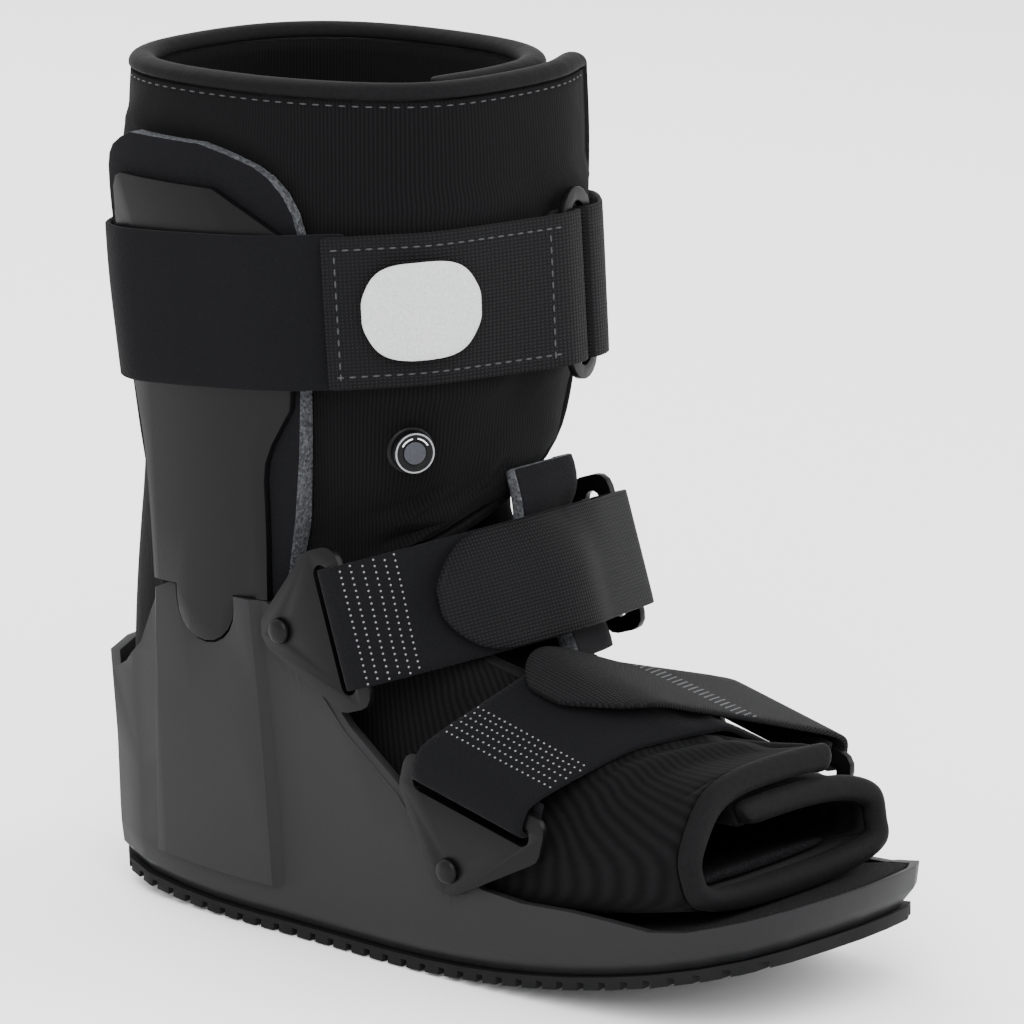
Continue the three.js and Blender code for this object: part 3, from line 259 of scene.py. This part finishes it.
def brushedLoop():
    # brushed nylon loop: matt, with short fuzz that catches light at the edges
    material, tree, shader = startMaterial("brushedNylonLoop", 1.0, sheen=0.035, sheenRough=0.35, shine=0.03)
    body = addNode(tree, "ShaderNodeTexCoord")
    fuzz = addNode(tree, "ShaderNodeTexNoise", {"Scale": 1900, "Detail": 5, "Roughness": 0.7},
                   {"Vector": (body, "Object")})
    tufts = addNode(tree, "ShaderNodeTexVoronoi", {"Scale": 1300, "feature": "SMOOTH_F1"},
                    {"Vector": (body, "Object")})
    tint = addNode(tree, "ShaderNodeMix",
                   {"data_type": "RGBA", "A": hexColor("#080809"), "B": hexColor("#18181a")},
                   {"Factor": (fuzz, "Fac")})
    tree.links.new(tint.outputs[2], shader.inputs["Base Color"])
    fine = bumpFrom(tree, shader, fuzz, "Fac", 0.0004, 0.6)
    bumpFrom(tree, shader, tufts, "Distance", 0.0003, 0.4, before=fine)
    return material


def wovenTape():
    # nylon webbing, woven with yarns about 1.1 mm wide
    material, tree, shader = startMaterial("wovenNylonTape", 0.7, sheen=0.01, shine=0.07)
    uv = addNode(tree, "ShaderNodeUVMap", {"uv_map": "cloth"})
    warp = addNode(tree, "ShaderNodeTexWave",
                   {"wave_type": "BANDS", "bands_direction": "Y", "Scale": 285, "Distortion": 0.3},
                   {"Vector": (uv, "UV")})
    weft = addNode(tree, "ShaderNodeTexWave",
                   {"wave_type": "BANDS", "bands_direction": "X", "Scale": 285, "Distortion": 0.3},
                   {"Vector": (uv, "UV")})
    weave = addNode(tree, "ShaderNodeMath", {"operation": "MULTIPLY"}, {0: (warp, "Fac"), 1: (weft, "Fac")})
    tint = addNode(tree, "ShaderNodeMix",
                   {"data_type": "RGBA", "A": hexColor("#0b0b0c"), "B": hexColor("#1b1b1d")},
                   {"Factor": (weave, 0)})
    tree.links.new(tint.outputs[2], shader.inputs["Base Color"])
    bumpFrom(tree, shader, weave, 0, 0.0005, 0.8)
    return material


def sewingThread():
    # twisted polyester, a little paler than the cloth it holds
    material, tree, shader = startMaterial("polyesterThread", 0.5, sheen=0.02, shine=0.15)
    body = addNode(tree, "ShaderNodeTexCoord")
    twist = addNode(tree, "ShaderNodeTexNoise", {"Scale": 2500, "Detail": 2}, {"Vector": (body, "Object")})
    tint = addNode(tree, "ShaderNodeMix",
                   {"data_type": "RGBA", "A": hexColor("#262628"), "B": hexColor("#3c3c3f")},
                   {"Factor": (twist, "Fac")})
    tree.links.new(tint.outputs[2], shader.inputs["Base Color"])
    return material


def speckledFoam():
    # reground foam under loop cloth: dark crumbs of several greys, about 0.9 mm
    material, tree, shader = startMaterial("speckledGreyFoam", 0.95, shine=0.1)
    body = addNode(tree, "ShaderNodeTexCoord")
    crumbs = addNode(tree, "ShaderNodeTexVoronoi", {"Scale": 1100}, {"Vector": (body, "Object")})
    ramp = addNode(tree, "ShaderNodeValToRGB", {}, {"Fac": (crumbs, "Color")})
    ramp.color_ramp.elements[0].position, ramp.color_ramp.elements[0].color = 0.15, hexColor("#2c2d2f")
    ramp.color_ramp.elements[1].position, ramp.color_ramp.elements[1].color = 0.9, hexColor("#4d4f52")
    tree.links.new(ramp.outputs["Color"], shader.inputs["Base Color"])
    bumpFrom(tree, shader, crumbs, "Distance", 0.0006, 0.6)
    return material


def mouldedShell():
    # spark-textured polypropylene, charcoal
    material, tree, shader = startMaterial("mouldedPolypropylene", 0.5, ior=1.49, shine=0.1)
    body = addNode(tree, "ShaderNodeTexCoord")
    grain = addNode(tree, "ShaderNodeTexNoise", {"Scale": 1300, "Detail": 3}, {"Vector": (body, "Object")})
    handling = addNode(tree, "ShaderNodeTexNoise", {"Scale": 14, "Detail": 3}, {"Vector": (body, "Object")})
    tint = addNode(tree, "ShaderNodeMix",
                   {"data_type": "RGBA", "A": hexColor("#1b1b1c"), "B": hexColor("#212122")},
                   {"Factor": (handling, "Fac")})
    tree.links.new(tint.outputs[2], shader.inputs["Base Color"])
    rough = addNode(tree, "ShaderNodeMapRange", {"From Min": 0.3, "From Max": 0.7, "To Min": 0.46, "To Max": 0.6},
                    {"Value": (handling, "Fac")})
    tree.links.new(rough.outputs["Result"], shader.inputs["Roughness"])
    bumpFrom(tree, shader, grain, "Fac", 0.00012, 0.6)
    return material


def blackPlate(name="satinNylonPlate", low="#060607", high="#0b0b0c", rough=0.36):
    # moulded nylon with a faint grain, satin
    material, tree, shader = startMaterial(name, rough, ior=1.53, shine=0.1)
    body = addNode(tree, "ShaderNodeTexCoord")
    grain = addNode(tree, "ShaderNodeTexNoise", {"Scale": 1100, "Detail": 3}, {"Vector": (body, "Object")})
    tint = addNode(tree, "ShaderNodeMix", {"data_type": "RGBA", "A": hexColor(low), "B": hexColor(high)},
                   {"Factor": (grain, "Fac")})
    tree.links.new(tint.outputs[2], shader.inputs["Base Color"])
    bumpFrom(tree, shader, grain, "Fac", 0.00008, 0.5)
    return material


def soleRubber():
    # dull black rubber, slightly dusty
    material, tree, shader = startMaterial("mouldedRubber", 0.8, ior=1.52, shine=0.1)
    body = addNode(tree, "ShaderNodeTexCoord")
    dust = addNode(tree, "ShaderNodeTexNoise", {"Scale": 60, "Detail": 5}, {"Vector": (body, "Object")})
    tint = addNode(tree, "ShaderNodeMix",
                   {"data_type": "RGBA", "A": hexColor("#0a0a0b"), "B": hexColor("#151516")},
                   {"Factor": (dust, "Fac")})
    tree.links.new(tint.outputs[2], shader.inputs["Base Color"])
    bumpFrom(tree, shader, dust, "Fac", 0.0003, 0.4)
    return material


def cellFoam(name, low, high, scale):
    # matt, with open cells or short pile about 1 mm across
    material, tree, shader = startMaterial(name, 0.95, shine=0.06)
    body = addNode(tree, "ShaderNodeTexCoord")
    cells = addNode(tree, "ShaderNodeTexVoronoi", {"Scale": scale}, {"Vector": (body, "Object")})
    tint = addNode(tree, "ShaderNodeMix", {"data_type": "RGBA", "A": hexColor(low), "B": hexColor(high)},
                   {"Factor": (cells, "Distance")})
    tree.links.new(tint.outputs[2], shader.inputs["Base Color"])
    bumpFrom(tree, shader, cells, "Distance", 0.0006, 0.6)
    return material


def paleCloth(name, low, high, rough):
    # pale and matt, with a short nap
    material, tree, shader = startMaterial(name, rough, sheen=0.2)
    body = addNode(tree, "ShaderNodeTexCoord")
    fuzz = addNode(tree, "ShaderNodeTexNoise", {"Scale": 1100, "Detail": 5}, {"Vector": (body, "Object")})
    tint = addNode(tree, "ShaderNodeMix", {"data_type": "RGBA", "A": hexColor(low), "B": hexColor(high)},
                   {"Factor": (fuzz, "Fac")})
    tree.links.new(tint.outputs[2], shader.inputs["Base Color"])
    bumpFrom(tree, shader, fuzz, "Fac", 0.0007, 0.8)
    return material


looks = {
    "knit": knitFabric(), "tape": smoothTape(), "loop": brushedLoop(), "woven": wovenTape(), "thread": sewingThread(),
    "foam": speckledFoam(), "shell": mouldedShell(), "plate": blackPlate(), "rubber": soleRubber(),
    # pale grey for bevelled plate edges and the dial's rim: a painted edge highlight, not the plate's own colour
    "paintedEdgeHighlight": blackPlate("paintedHighlightEdge", "#727476", "#8c8d8f", 0.4),
    "footbed": cellFoam("closedCellFoam", "#0b0b0c", "#171718", 1200),
    "fleece": cellFoam("shortFleece", "#0b0b0c", "#1a1a1c", 1100),
    "patch": paleCloth("lightLoopPatch", "#9b9c9d", "#c4c5c6", 1.0),
    "dots": paleCloth("reflectiveInk", "#505154", "#6a6b6e", 0.6),
    "valveFace": blackPlate("darkGreyValveDisc", "#2c2e32", "#3a3c41", 0.45),
    "print": blackPlate("whiteValveMarks", "#d8dadc", "#eceeef", 0.5),
}
print("materials made:", len(looks))


# the photograph's view, soft lamps and a pale floor
cameraPlace = {"azimuth": -50, "elevation": 13, "distance": 2.0, "look": (0.009, 0.002, 0.132), "lens": 226.4}
turn, lift = math.radians(cameraPlace["azimuth"]), math.radians(cameraPlace["elevation"])
back = Vector((math.sin(turn) * math.cos(lift), -math.cos(turn) * math.cos(lift), math.sin(lift)))
pickOnly()
bpy.ops.object.camera_add(location=Vector(cameraPlace["look"]) + back * cameraPlace["distance"])
camera = bpy.context.object
camera.rotation_euler = back.to_track_quat("Z", "Y").to_euler()
camera.data.sensor_width = 36
camera.data.lens = cameraPlace["lens"]
camera.data.clip_end = 50
bpy.context.scene.camera = camera

lamps = [
    {"place": (-1.5, -1.1, 1.7), "size": 1.8, "power": 64},
    {"place": (1.4, -1.6, 1.3), "size": 1.6, "power": 34},
    {"place": (0.3, 1.7, 1.9), "size": 1.8, "power": 42},
]
for lamp in lamps:
    bpy.ops.object.light_add(type="AREA", location=lamp["place"])
    light = bpy.context.object
    light.rotation_euler = (Vector(lamp["place"]) - Vector((0, 0, 0.12))).to_track_quat("Z", "Y").to_euler()
    light.data.size = lamp["size"]
    light.data.energy = lamp["power"]
world = bpy.data.worlds.new("studio")
bpy.context.scene.world = world
world.use_nodes = True
world.node_tree.nodes["Background"].inputs["Color"].default_value = hexColor("#ffffff")
world.node_tree.nodes["Background"].inputs["Strength"].default_value = 1.9

pickOnly()
bpy.ops.mesh.primitive_plane_add(size=12, location=(0, 0, -0.0005))
floor = bpy.context.object
floor.name = "studioFloor"
floorLook, floorTree, floorShader = startMaterial("paleFloor", 0.9)
floorShader.inputs["Base Color"].default_value = hexColor("#ffffff")
floor.data.materials.append(floorLook)
print("camera, light and floor set")


def modelStitch(length, radius, flat):
    # one stitch lying along X, a slim rounded grain
    pickOnly()
    bpy.ops.mesh.primitive_uv_sphere_add(segments=8, ring_count=5, radius=1)
    stitch = bpy.context.object
    bpy.ops.object.mode_set(mode="EDIT")
    bpy.ops.mesh.select_all(action="SELECT")
    bpy.ops.transform.resize(value=(length / 2 * mm, radius * mm, flat * mm))
    bpy.ops.object.mode_set(mode="OBJECT")
    return stitch


def copyAlong(model, places, name):
    # a copy of the model at each (point, direction, normal), joined into one piece
    copies = []
    for spot, direction, normal in places:
        side = normal.cross(direction).normalized()
        ahead = side.cross(normal).normalized()
        turnTo = Matrix((ahead, side, normal.normalized())).transposed().to_4x4()
        turnTo.translation = spot
        one = bpy.data.objects.new(name, model.data.copy())
        one.data.transform(turnTo)
        bpy.context.scene.collection.objects.link(one)
        copies.append(one)
    pickOnly(*copies)
    bpy.ops.object.join()
    joined = bpy.context.object
    joined.name = name
    bpy.data.objects.remove(model)
    smooth(joined)
    return joined


def evenly(points, pitch):
    # places every so many millimetres along a run of (point, normal)
    places = []
    left = 0.0
    for (a, na), (b, nb) in zip(points, points[1:]):
        span = (b - a).length / mm
        while span > 1e-6 and left <= span:
            share = left / span
            places.append((a.lerp(b, share), (b - a).normalized(), na.lerp(nb, share).normalized()))
            left += pitch
        left -= span
    return places


def stitchRow(name, runs, threadLook, pitch=3.6, length=2.5, radius=0.34):
    places = [place for run in runs for place in evenly(run, pitch)]
    rows = copyAlong(modelStitch(length, radius, radius * 0.8), places, name)
    return finishPiece(rows, materials=[threadLook])


def surfaceRun(tree, lie, turns, sides):
    run = [onSurface(tree, lie, turn, side) for turn, side in zip(turns, sides)]
    return [spot for spot in run if spot]


def spread(start, end, count):
    return [start + (end - start) * i / (count - 1) for i in range(count)]


def bead(name, points, radius, material, closed=False):
    # a thin cord-like ridge on a surface
    pickOnly()
    bpy.ops.curve.primitive_nurbs_path_add()
    path = bpy.context.object
    path.name = name
    path.data.splines.clear()
    spline = path.data.splines.new("POLY")
    spline.points.add(len(points) - 1)
    for spot, co in zip(spline.points, points):
        spot.co = (*co, 1)
    spline.use_cyclic_u = closed
    path.data.bevel_depth = radius * mm
    path.data.bevel_resolution = 2
    path.data.use_fill_caps = True
    pickOnly(path)
    bpy.ops.object.convert(target="MESH")
    piece = bpy.context.object
    bpy.ops.object.transform_apply(location=True, rotation=True, scale=True)
    smooth(piece, 60)
    return finishPiece(piece, materials=[material])


# sizes in millimetres, but rays start and outer walls are told in metres
shellLook = {"bevel": 0.7, "beadRadius": 0.55, "beadIn": 3.2, "rayFrom": 0.2, "outerWall": 0.03}
shell = copyNode("shell", "rockerShell")
bevelEdges(shell, shellLook["bevel"], segments=2, degrees=38)
smooth(shell, 32)
finishPiece(shell, ["shell"], materials=[looks["shell"]])
shellTree = treeOf(shell)

# a raised line runs a little inside the shell's front edge, as on the real moulding
edgeLine = [(41, 106), (36, 100), (13, 74.5), (-8.6, 58.5), (-20, 46.5)]
for label, sign in (("near", -1), ("far", 1)):
    run = []
    for (ya, za), (yb, zb) in zip(edgeLine, edgeLine[1:]):
        along = Vector((yb - ya, zb - za)).normalized()
        inward = Vector((along.y, -along.x)) * shellLook["beadIn"]
        if inward.y > 0:
            inward = -inward
        for share in spread(0, 1, 5)[:-1]:
            y, z = ya + (yb - ya) * share + inward.x, za + (zb - za) * share + inward.y
            start = Vector((sign * shellLook["rayFrom"], y * mm, z * mm))
            hit = shellTree.ray_cast(start, Vector((-sign, 0, 0)))[0]
            if hit and abs(hit.x) > shellLook["outerWall"]:
                run.append(hit + Vector((-sign * 0.1 * mm, 0, 0)))
    if len(run) > 4:
        bead(f"shellEdgeLine_{label}_front", run, shellLook["beadRadius"], looks["shell"])
print("shell done")

outsole = copyNode("outsole", "treadSole")
bevelEdges(outsole, 0.5, segments=1, degrees=50)
smooth(outsole, 30)
finishPiece(outsole, ["outsole"], materials=[looks["rubber"]])

footbed = copyNode("footbed", "toeFootbed")
bevelEdges(footbed, 1.2, segments=2, degrees=50)
smooth(footbed, 40)
finishPiece(footbed, ["footbed"], materials=[looks["footbed"]])

for label in ("near", "far"):
    upright = copyNode(f"upright_{label}", f"sideUpright_{label}")
    bevelEdges(upright, 0.6, segments=2, degrees=50, material=1)
    smooth(upright, 30)
    finishPiece(upright, [f"upright_{label}"], materials=[looks["plate"], looks["shell"]])
    for strap in ("ankle", "forefoot"):
        bracket = copyNode(f"{strap}_bracket_{label}", f"{strap}Bracket_{label}")
        # the bevelled edges take the second material, a pale grey painted highlight along every edge
        bevelEdges(bracket, 0.45, segments=2, degrees=50, material=1)
        smooth(bracket, 30)
        finishPiece(bracket, [f"{strap}_bracket_{label}"],
                    materials=[looks["plate"], looks["paintedEdgeHighlight"]])
        rivet = copyNode(f"{strap}_rivet_{label}", f"{strap}Rivet_{label}", quads=True)
        creaseSharp(rivet, 60, 0.8)
        subdivide(rivet, 2)
        smooth(rivet, 40)
        finishPiece(rivet, [f"{strap}_rivet_{label}"], materials=[looks["plate"]])

ring = copyNode("leg_ring", "legStrapRing")
bevelEdges(ring, 0.6, segments=3, degrees=50)
smooth(ring, 35)
finishPiece(ring, ["leg_ring"], materials=[looks["plate"]])
print("plates, rivets and ring done")


valvePlace = {"at": (-36.35, 4.5, 159), "facing": 239}
valveTurn = Matrix.Rotation(math.radians(valvePlace["facing"]), 4, "Z")
valveTurn.translation = Vector(valvePlace["at"]) * mm

collar = copyNode("valve_collar", "valveCollar", quads=True)
bevelEdges(collar, 0.3, segments=2, degrees=40)
smooth(collar, 40)
finishPiece(collar, ["valve_collar"], materials=[looks["plate"]])

dial = copyNode("valve_dial", "valveDial")
bevelEdges(dial, 0.3, segments=2, degrees=40)
smooth(dial, 40)
finishPiece(dial, ["valve_dial"], body="dial", materials=[looks["plate"]])


def onDial(obj):
    obj.data.transform(valveTurn)
    return obj


def dialRing(name, radius, thick, height, arc=(0, 360), material="paintedEdgeHighlight"):
    # a thin band round the dial's axis; by default in the pale grey of the painted edge highlight
    pickOnly()
    bpy.ops.curve.primitive_nurbs_path_add()
    path = bpy.context.object
    path.name = name
    path.data.splines.clear()
    spline = path.data.splines.new("POLY")
    steps = max(6, int(abs(arc[1] - arc[0]) / 9))
    spline.points.add(steps)
    for i, spot in enumerate(spline.points):
        a = math.radians(arc[0] + (arc[1] - arc[0]) * i / steps)
        spot.co = (height * mm, radius * math.cos(a) * mm, radius * math.sin(a) * mm, 1)
    path.data.bevel_depth = thick * mm
    path.data.bevel_resolution = 2
    path.data.use_fill_caps = True
    pickOnly(path)
    bpy.ops.object.convert(target="MESH")
    piece = bpy.context.object
    bpy.ops.object.transform_apply(location=True, rotation=True, scale=True)
    onDial(piece)
    smooth(piece, 60)
    return finishPiece(piece, body="dial", materials=[looks[material]])


# a pale ring painted as the highlight round the dial's rim
dialRing("valveRimPaintedHighlight", 6.0, 0.28, 4.95)
dialRing("valveMarkLeft", 4.6, 0.22, 5.1, arc=(100, 150), material="print")
dialRing("valveMarkRight", 4.6, 0.22, 5.1, arc=(30, 80), material="print")
pickOnly()
bpy.ops.mesh.primitive_cylinder_add(vertices=48, radius=3.5 * mm, depth=0.5 * mm,
                                    rotation=(0, math.pi / 2, 0), location=(4.75 * mm, 0, 0))
disc = bpy.context.object
disc.name = "valveCentreDisc"
bpy.ops.object.transform_apply(location=True, rotation=True, scale=True)
useModifier(disc, "BEVEL", width=0.15 * mm, segments=2, limit_method="ANGLE")
smooth(disc, 40)
onDial(disc)
finishPiece(disc, body="dial", materials=[looks["valveFace"]])
print("valve done")


strapWorks = [
    {"node": "leg_strap", "name": "legCuffStrap", "lie": "leg",
     "radius": 62, "look": "loop", "slot": "fuzzy_loop", "levels": 2},
    {"node": "leg_strap_tab", "name": "legStrapWovenEnd", "lie": "leg",
     "radius": 62, "look": "woven", "slot": "webbing", "levels": 2},
    {"node": "leg_strap_loop", "name": "legStrapReturn", "lie": "leg",
     "radius": 62, "look": "woven", "slot": "webbing", "levels": 2},
    {"node": "ankle_strap", "name": "ankleStrap", "lie": "ankle",
     "radius": 50, "look": "loop", "slot": "fuzzy_loop", "levels": 2},
    {"node": "ankle_strap_tab", "name": "ankleStrapEnd", "lie": "ankleEnd",
     "radius": 50, "look": "woven", "slot": "webbing", "levels": 2},
    {"node": "forefoot_strap", "name": "forefootStrap", "lie": "forefoot",
     "radius": 50, "look": "loop", "slot": "fuzzy_loop", "levels": 2},
    {"node": "forefoot_strap_tab", "name": "forefootStrapEnd", "lie": "forefootEnd",
     "radius": 50, "look": "woven", "slot": "webbing", "levels": 2},
]
straps = {}
for work in strapWorks:
    piece = copyNode(work["node"], work["name"], quads=True)
    creaseSharp(piece, 70, 0.75)
    subdivide(piece, work["levels"])
    wrapUv(piece, lies[work["lie"]], work["radius"])
    smooth(piece, 45)
    finishPiece(piece, [work["node"]], materials=[looks[work["look"]]])
    straps[work["node"]] = piece
strapTrees = {name: treeOf(piece) for name, piece in straps.items()}
print("straps done")

# rows of stitches near the edges of the leg strap's woven end
legTab, legLie = strapTrees["leg_strap_tab"], lies["leg"]
legStitches = {"start": 41, "end": 96, "cross": 93, "side": 19.5}  # turns in degrees, side in millimetres
half = legStitches["side"]
legRuns = [surfaceRun(legTab, legLie, spread(legStitches["start"], legStitches["end"], 30), [side] * 30)
           for side in (-half, half)]
for crossTurn in (legStitches["start"], legStitches["cross"]):
    legRuns.append(surfaceRun(legTab, legLie, [crossTurn] * 12, spread(-half, half, 12)))
stitchRow("legStrapStitches", legRuns, looks["thread"])


def dotBand(name, tree, lie, turns, sides):
    # small reflective dots printed in columns across a strap
    places = []
    for c, turn in enumerate(turns):
        for side in sides:
            spot = onSurface(tree, lie, turn, side + (0.5 if c % 2 else -0.5) * abs(sides[1] - sides[0]) / 2)
            if spot:
                places.append((spot[0], lie["side"], spot[1]))
    dots = copyAlong(modelStitch(0.75, 0.37, 0.08), places, name)
    return finishPiece(dots, materials=[looks["dots"]])


# turns in degrees and sides in millimetres, each with its number of dots
dotWorks = [
    {"name": "ankleStrapDots", "node": "ankle_strap", "lie": "ankle", "turns": (20, 33, 6), "sides": (-17.6, 17.6, 19)},
    {"name": "forefootStrapDots", "node": "forefoot_strap", "lie": "forefoot", "turns": (28, 39, 6),
     "sides": (-20.5, 20.5, 20)},
    {"name": "forefootEndDots", "node": "forefoot_strap_tab", "lie": "forefootEnd", "turns": (116, 127, 6),
     "sides": (-20, 20, 20)},
]
for work in dotWorks:
    dotBand(work["name"], strapTrees[work["node"]], lies[work["lie"]], spread(*work["turns"]), spread(*work["sides"]))

patch = copyNode("leg_patch", "legStrapPatch", quads=True)
creaseSharp(patch, 60, 0.6)
subdivide(patch, 2)
smooth(patch, 50)
finishPiece(patch, ["leg_patch"], materials=[looks["patch"]])
print("stitches, dots and patch done")


# all in millimetres but levels: how far padding is pressed, swells and is searched
linerWork = {"levels": 2, "press": 0.5, "pressMost": 2.2, "puff": 1.9, "puffReach": 14.0,
             "rayLift": 0.2, "rayReach": 6.0}
liner = copyNode("liner", "paddedLiner", quads=True)
creaseSharp(liner, 60, 1.0)
subdivide(liner, linerWork["levels"])

# the padding fills up to the straps that press on it, and swells beside them
covers = ["leg_strap", "leg_strap_tab", "leg_strap_loop", "ankle_strap", "forefoot_strap"]
coverTrees = [strapTrees[name] for name in covers]
padTrees = [treeOf(nodes[name]) for name in ("instep_pad", "upright_pad_near", "upright_pad_far")]
places = [(vertex.co.copy(), vertex.normal.copy()) for vertex in liner.data.vertices]
moved = []
for co, normal in places:
    lifted = co + normal * linerWork["rayLift"] * mm
    hits = [tree.ray_cast(lifted, normal, linerWork["rayReach"] * mm)[3] for tree in coverTrees + padTrees]
    unders = [distance for distance in hits if distance is not None]
    move = 0
    if unders:
        move = min(max(min(unders) - linerWork["press"] * mm, 0), linerWork["pressMost"] * mm)
    else:
        found = [tree.find_nearest(co, linerWork["puffReach"] * mm)[3] for tree in coverTrees + padTrees]
        near = [away for away in found if away is not None]
        outside = normal.dot(Vector((co.x, co.y - 0.06 if co.z > 0.12 else 0, 0))) > 0 or normal.z > 0.2
        if near and outside:
            move = linerWork["puff"] * mm * math.sin(math.pi * min(near) / (linerWork["puffReach"] * mm)) ** 2
    moved.append(co + normal * move)
for vertex, co in zip(liner.data.vertices, moved):
    vertex.co = co
wrapUv(liner, lies["liner"], 58)
smooth(liner, 60)
finishPiece(liner, ["liner"], materials=[looks["knit"]])

binding = copyNode("edge_binding", "linerBinding", quads=True)
creaseSharp(binding, 75, 0.3)
subdivide(binding, 2)
smooth(binding)
finishPiece(binding, ["edge_binding"], materials=[looks["tape"]])

# dashed stitches run just below the tape round the rim
linerTree, bindingTree = treeOf(liner), treeOf(binding)
rimWork = {"top": 148, "low": 60, "lowest": 85, "below": 2.4, "steps": 90, "fewest": 20}
rimRun = []
for around in spread(-178, 178, rimWork["steps"]):
    heights = spread(rimWork["top"], rimWork["low"], rimWork["steps"])
    sides = [side for side in heights if onSurface(bindingTree, lies["liner"], around, side)]
    if sides and min(sides) > rimWork["lowest"]:
        spot = onSurface(linerTree, lies["liner"], around, min(sides) - rimWork["below"])
        if spot:
            rimRun.append(spot)
if len(rimRun) > rimWork["fewest"]:
    stitchRow("rimStitches", [rimRun], looks["thread"], pitch=4.2, length=2.6, radius=0.28)

for label in ("near", "far"):
    pad = copyNode(f"upright_pad_{label}", f"uprightPad_{label}")
    bevelEdges(pad, 1.6, segments=3, degrees=50)
    pad.data.materials.append(looks["foam"])
    pad.data.materials.append(looks["loop"])
    for polygon in pad.data.polygons:
        polygon.material_index = 1 if abs(polygon.normal.x) > 0.86 else 0
    smooth(pad, 35)
    finishPiece(pad, [f"upright_pad_{label}"])

instep = copyNode("instep_pad", "instepPad", quads=True)
creaseSharp(instep, 60, 0.5)
subdivide(instep, 2)
instep.data.materials.append(looks["foam"])
instep.data.materials.append(looks["loop"])
for polygon in instep.data.polygons:
    around, _, _ = lieCoords(lies["ankle"], polygon.center)
    out = (lies["ankle"]["across"] * -math.cos(math.radians(around))
           + lies["ankle"]["ahead"] * math.sin(math.radians(around))).normalized()
    polygon.material_index = 1 if abs(polygon.normal.dot(out)) > 0.6 else 0
smooth(instep, 50)
finishPiece(instep, ["instep_pad"])

solePad = copyNode("sole_pad", "fleeceSolePad", quads=True)
creaseSharp(solePad, 60, 0.4)
subdivide(solePad, 2)
smooth(solePad)
finishPiece(solePad, ["sole_pad"], materials=[looks["fleece"]])
print("padded pieces done")
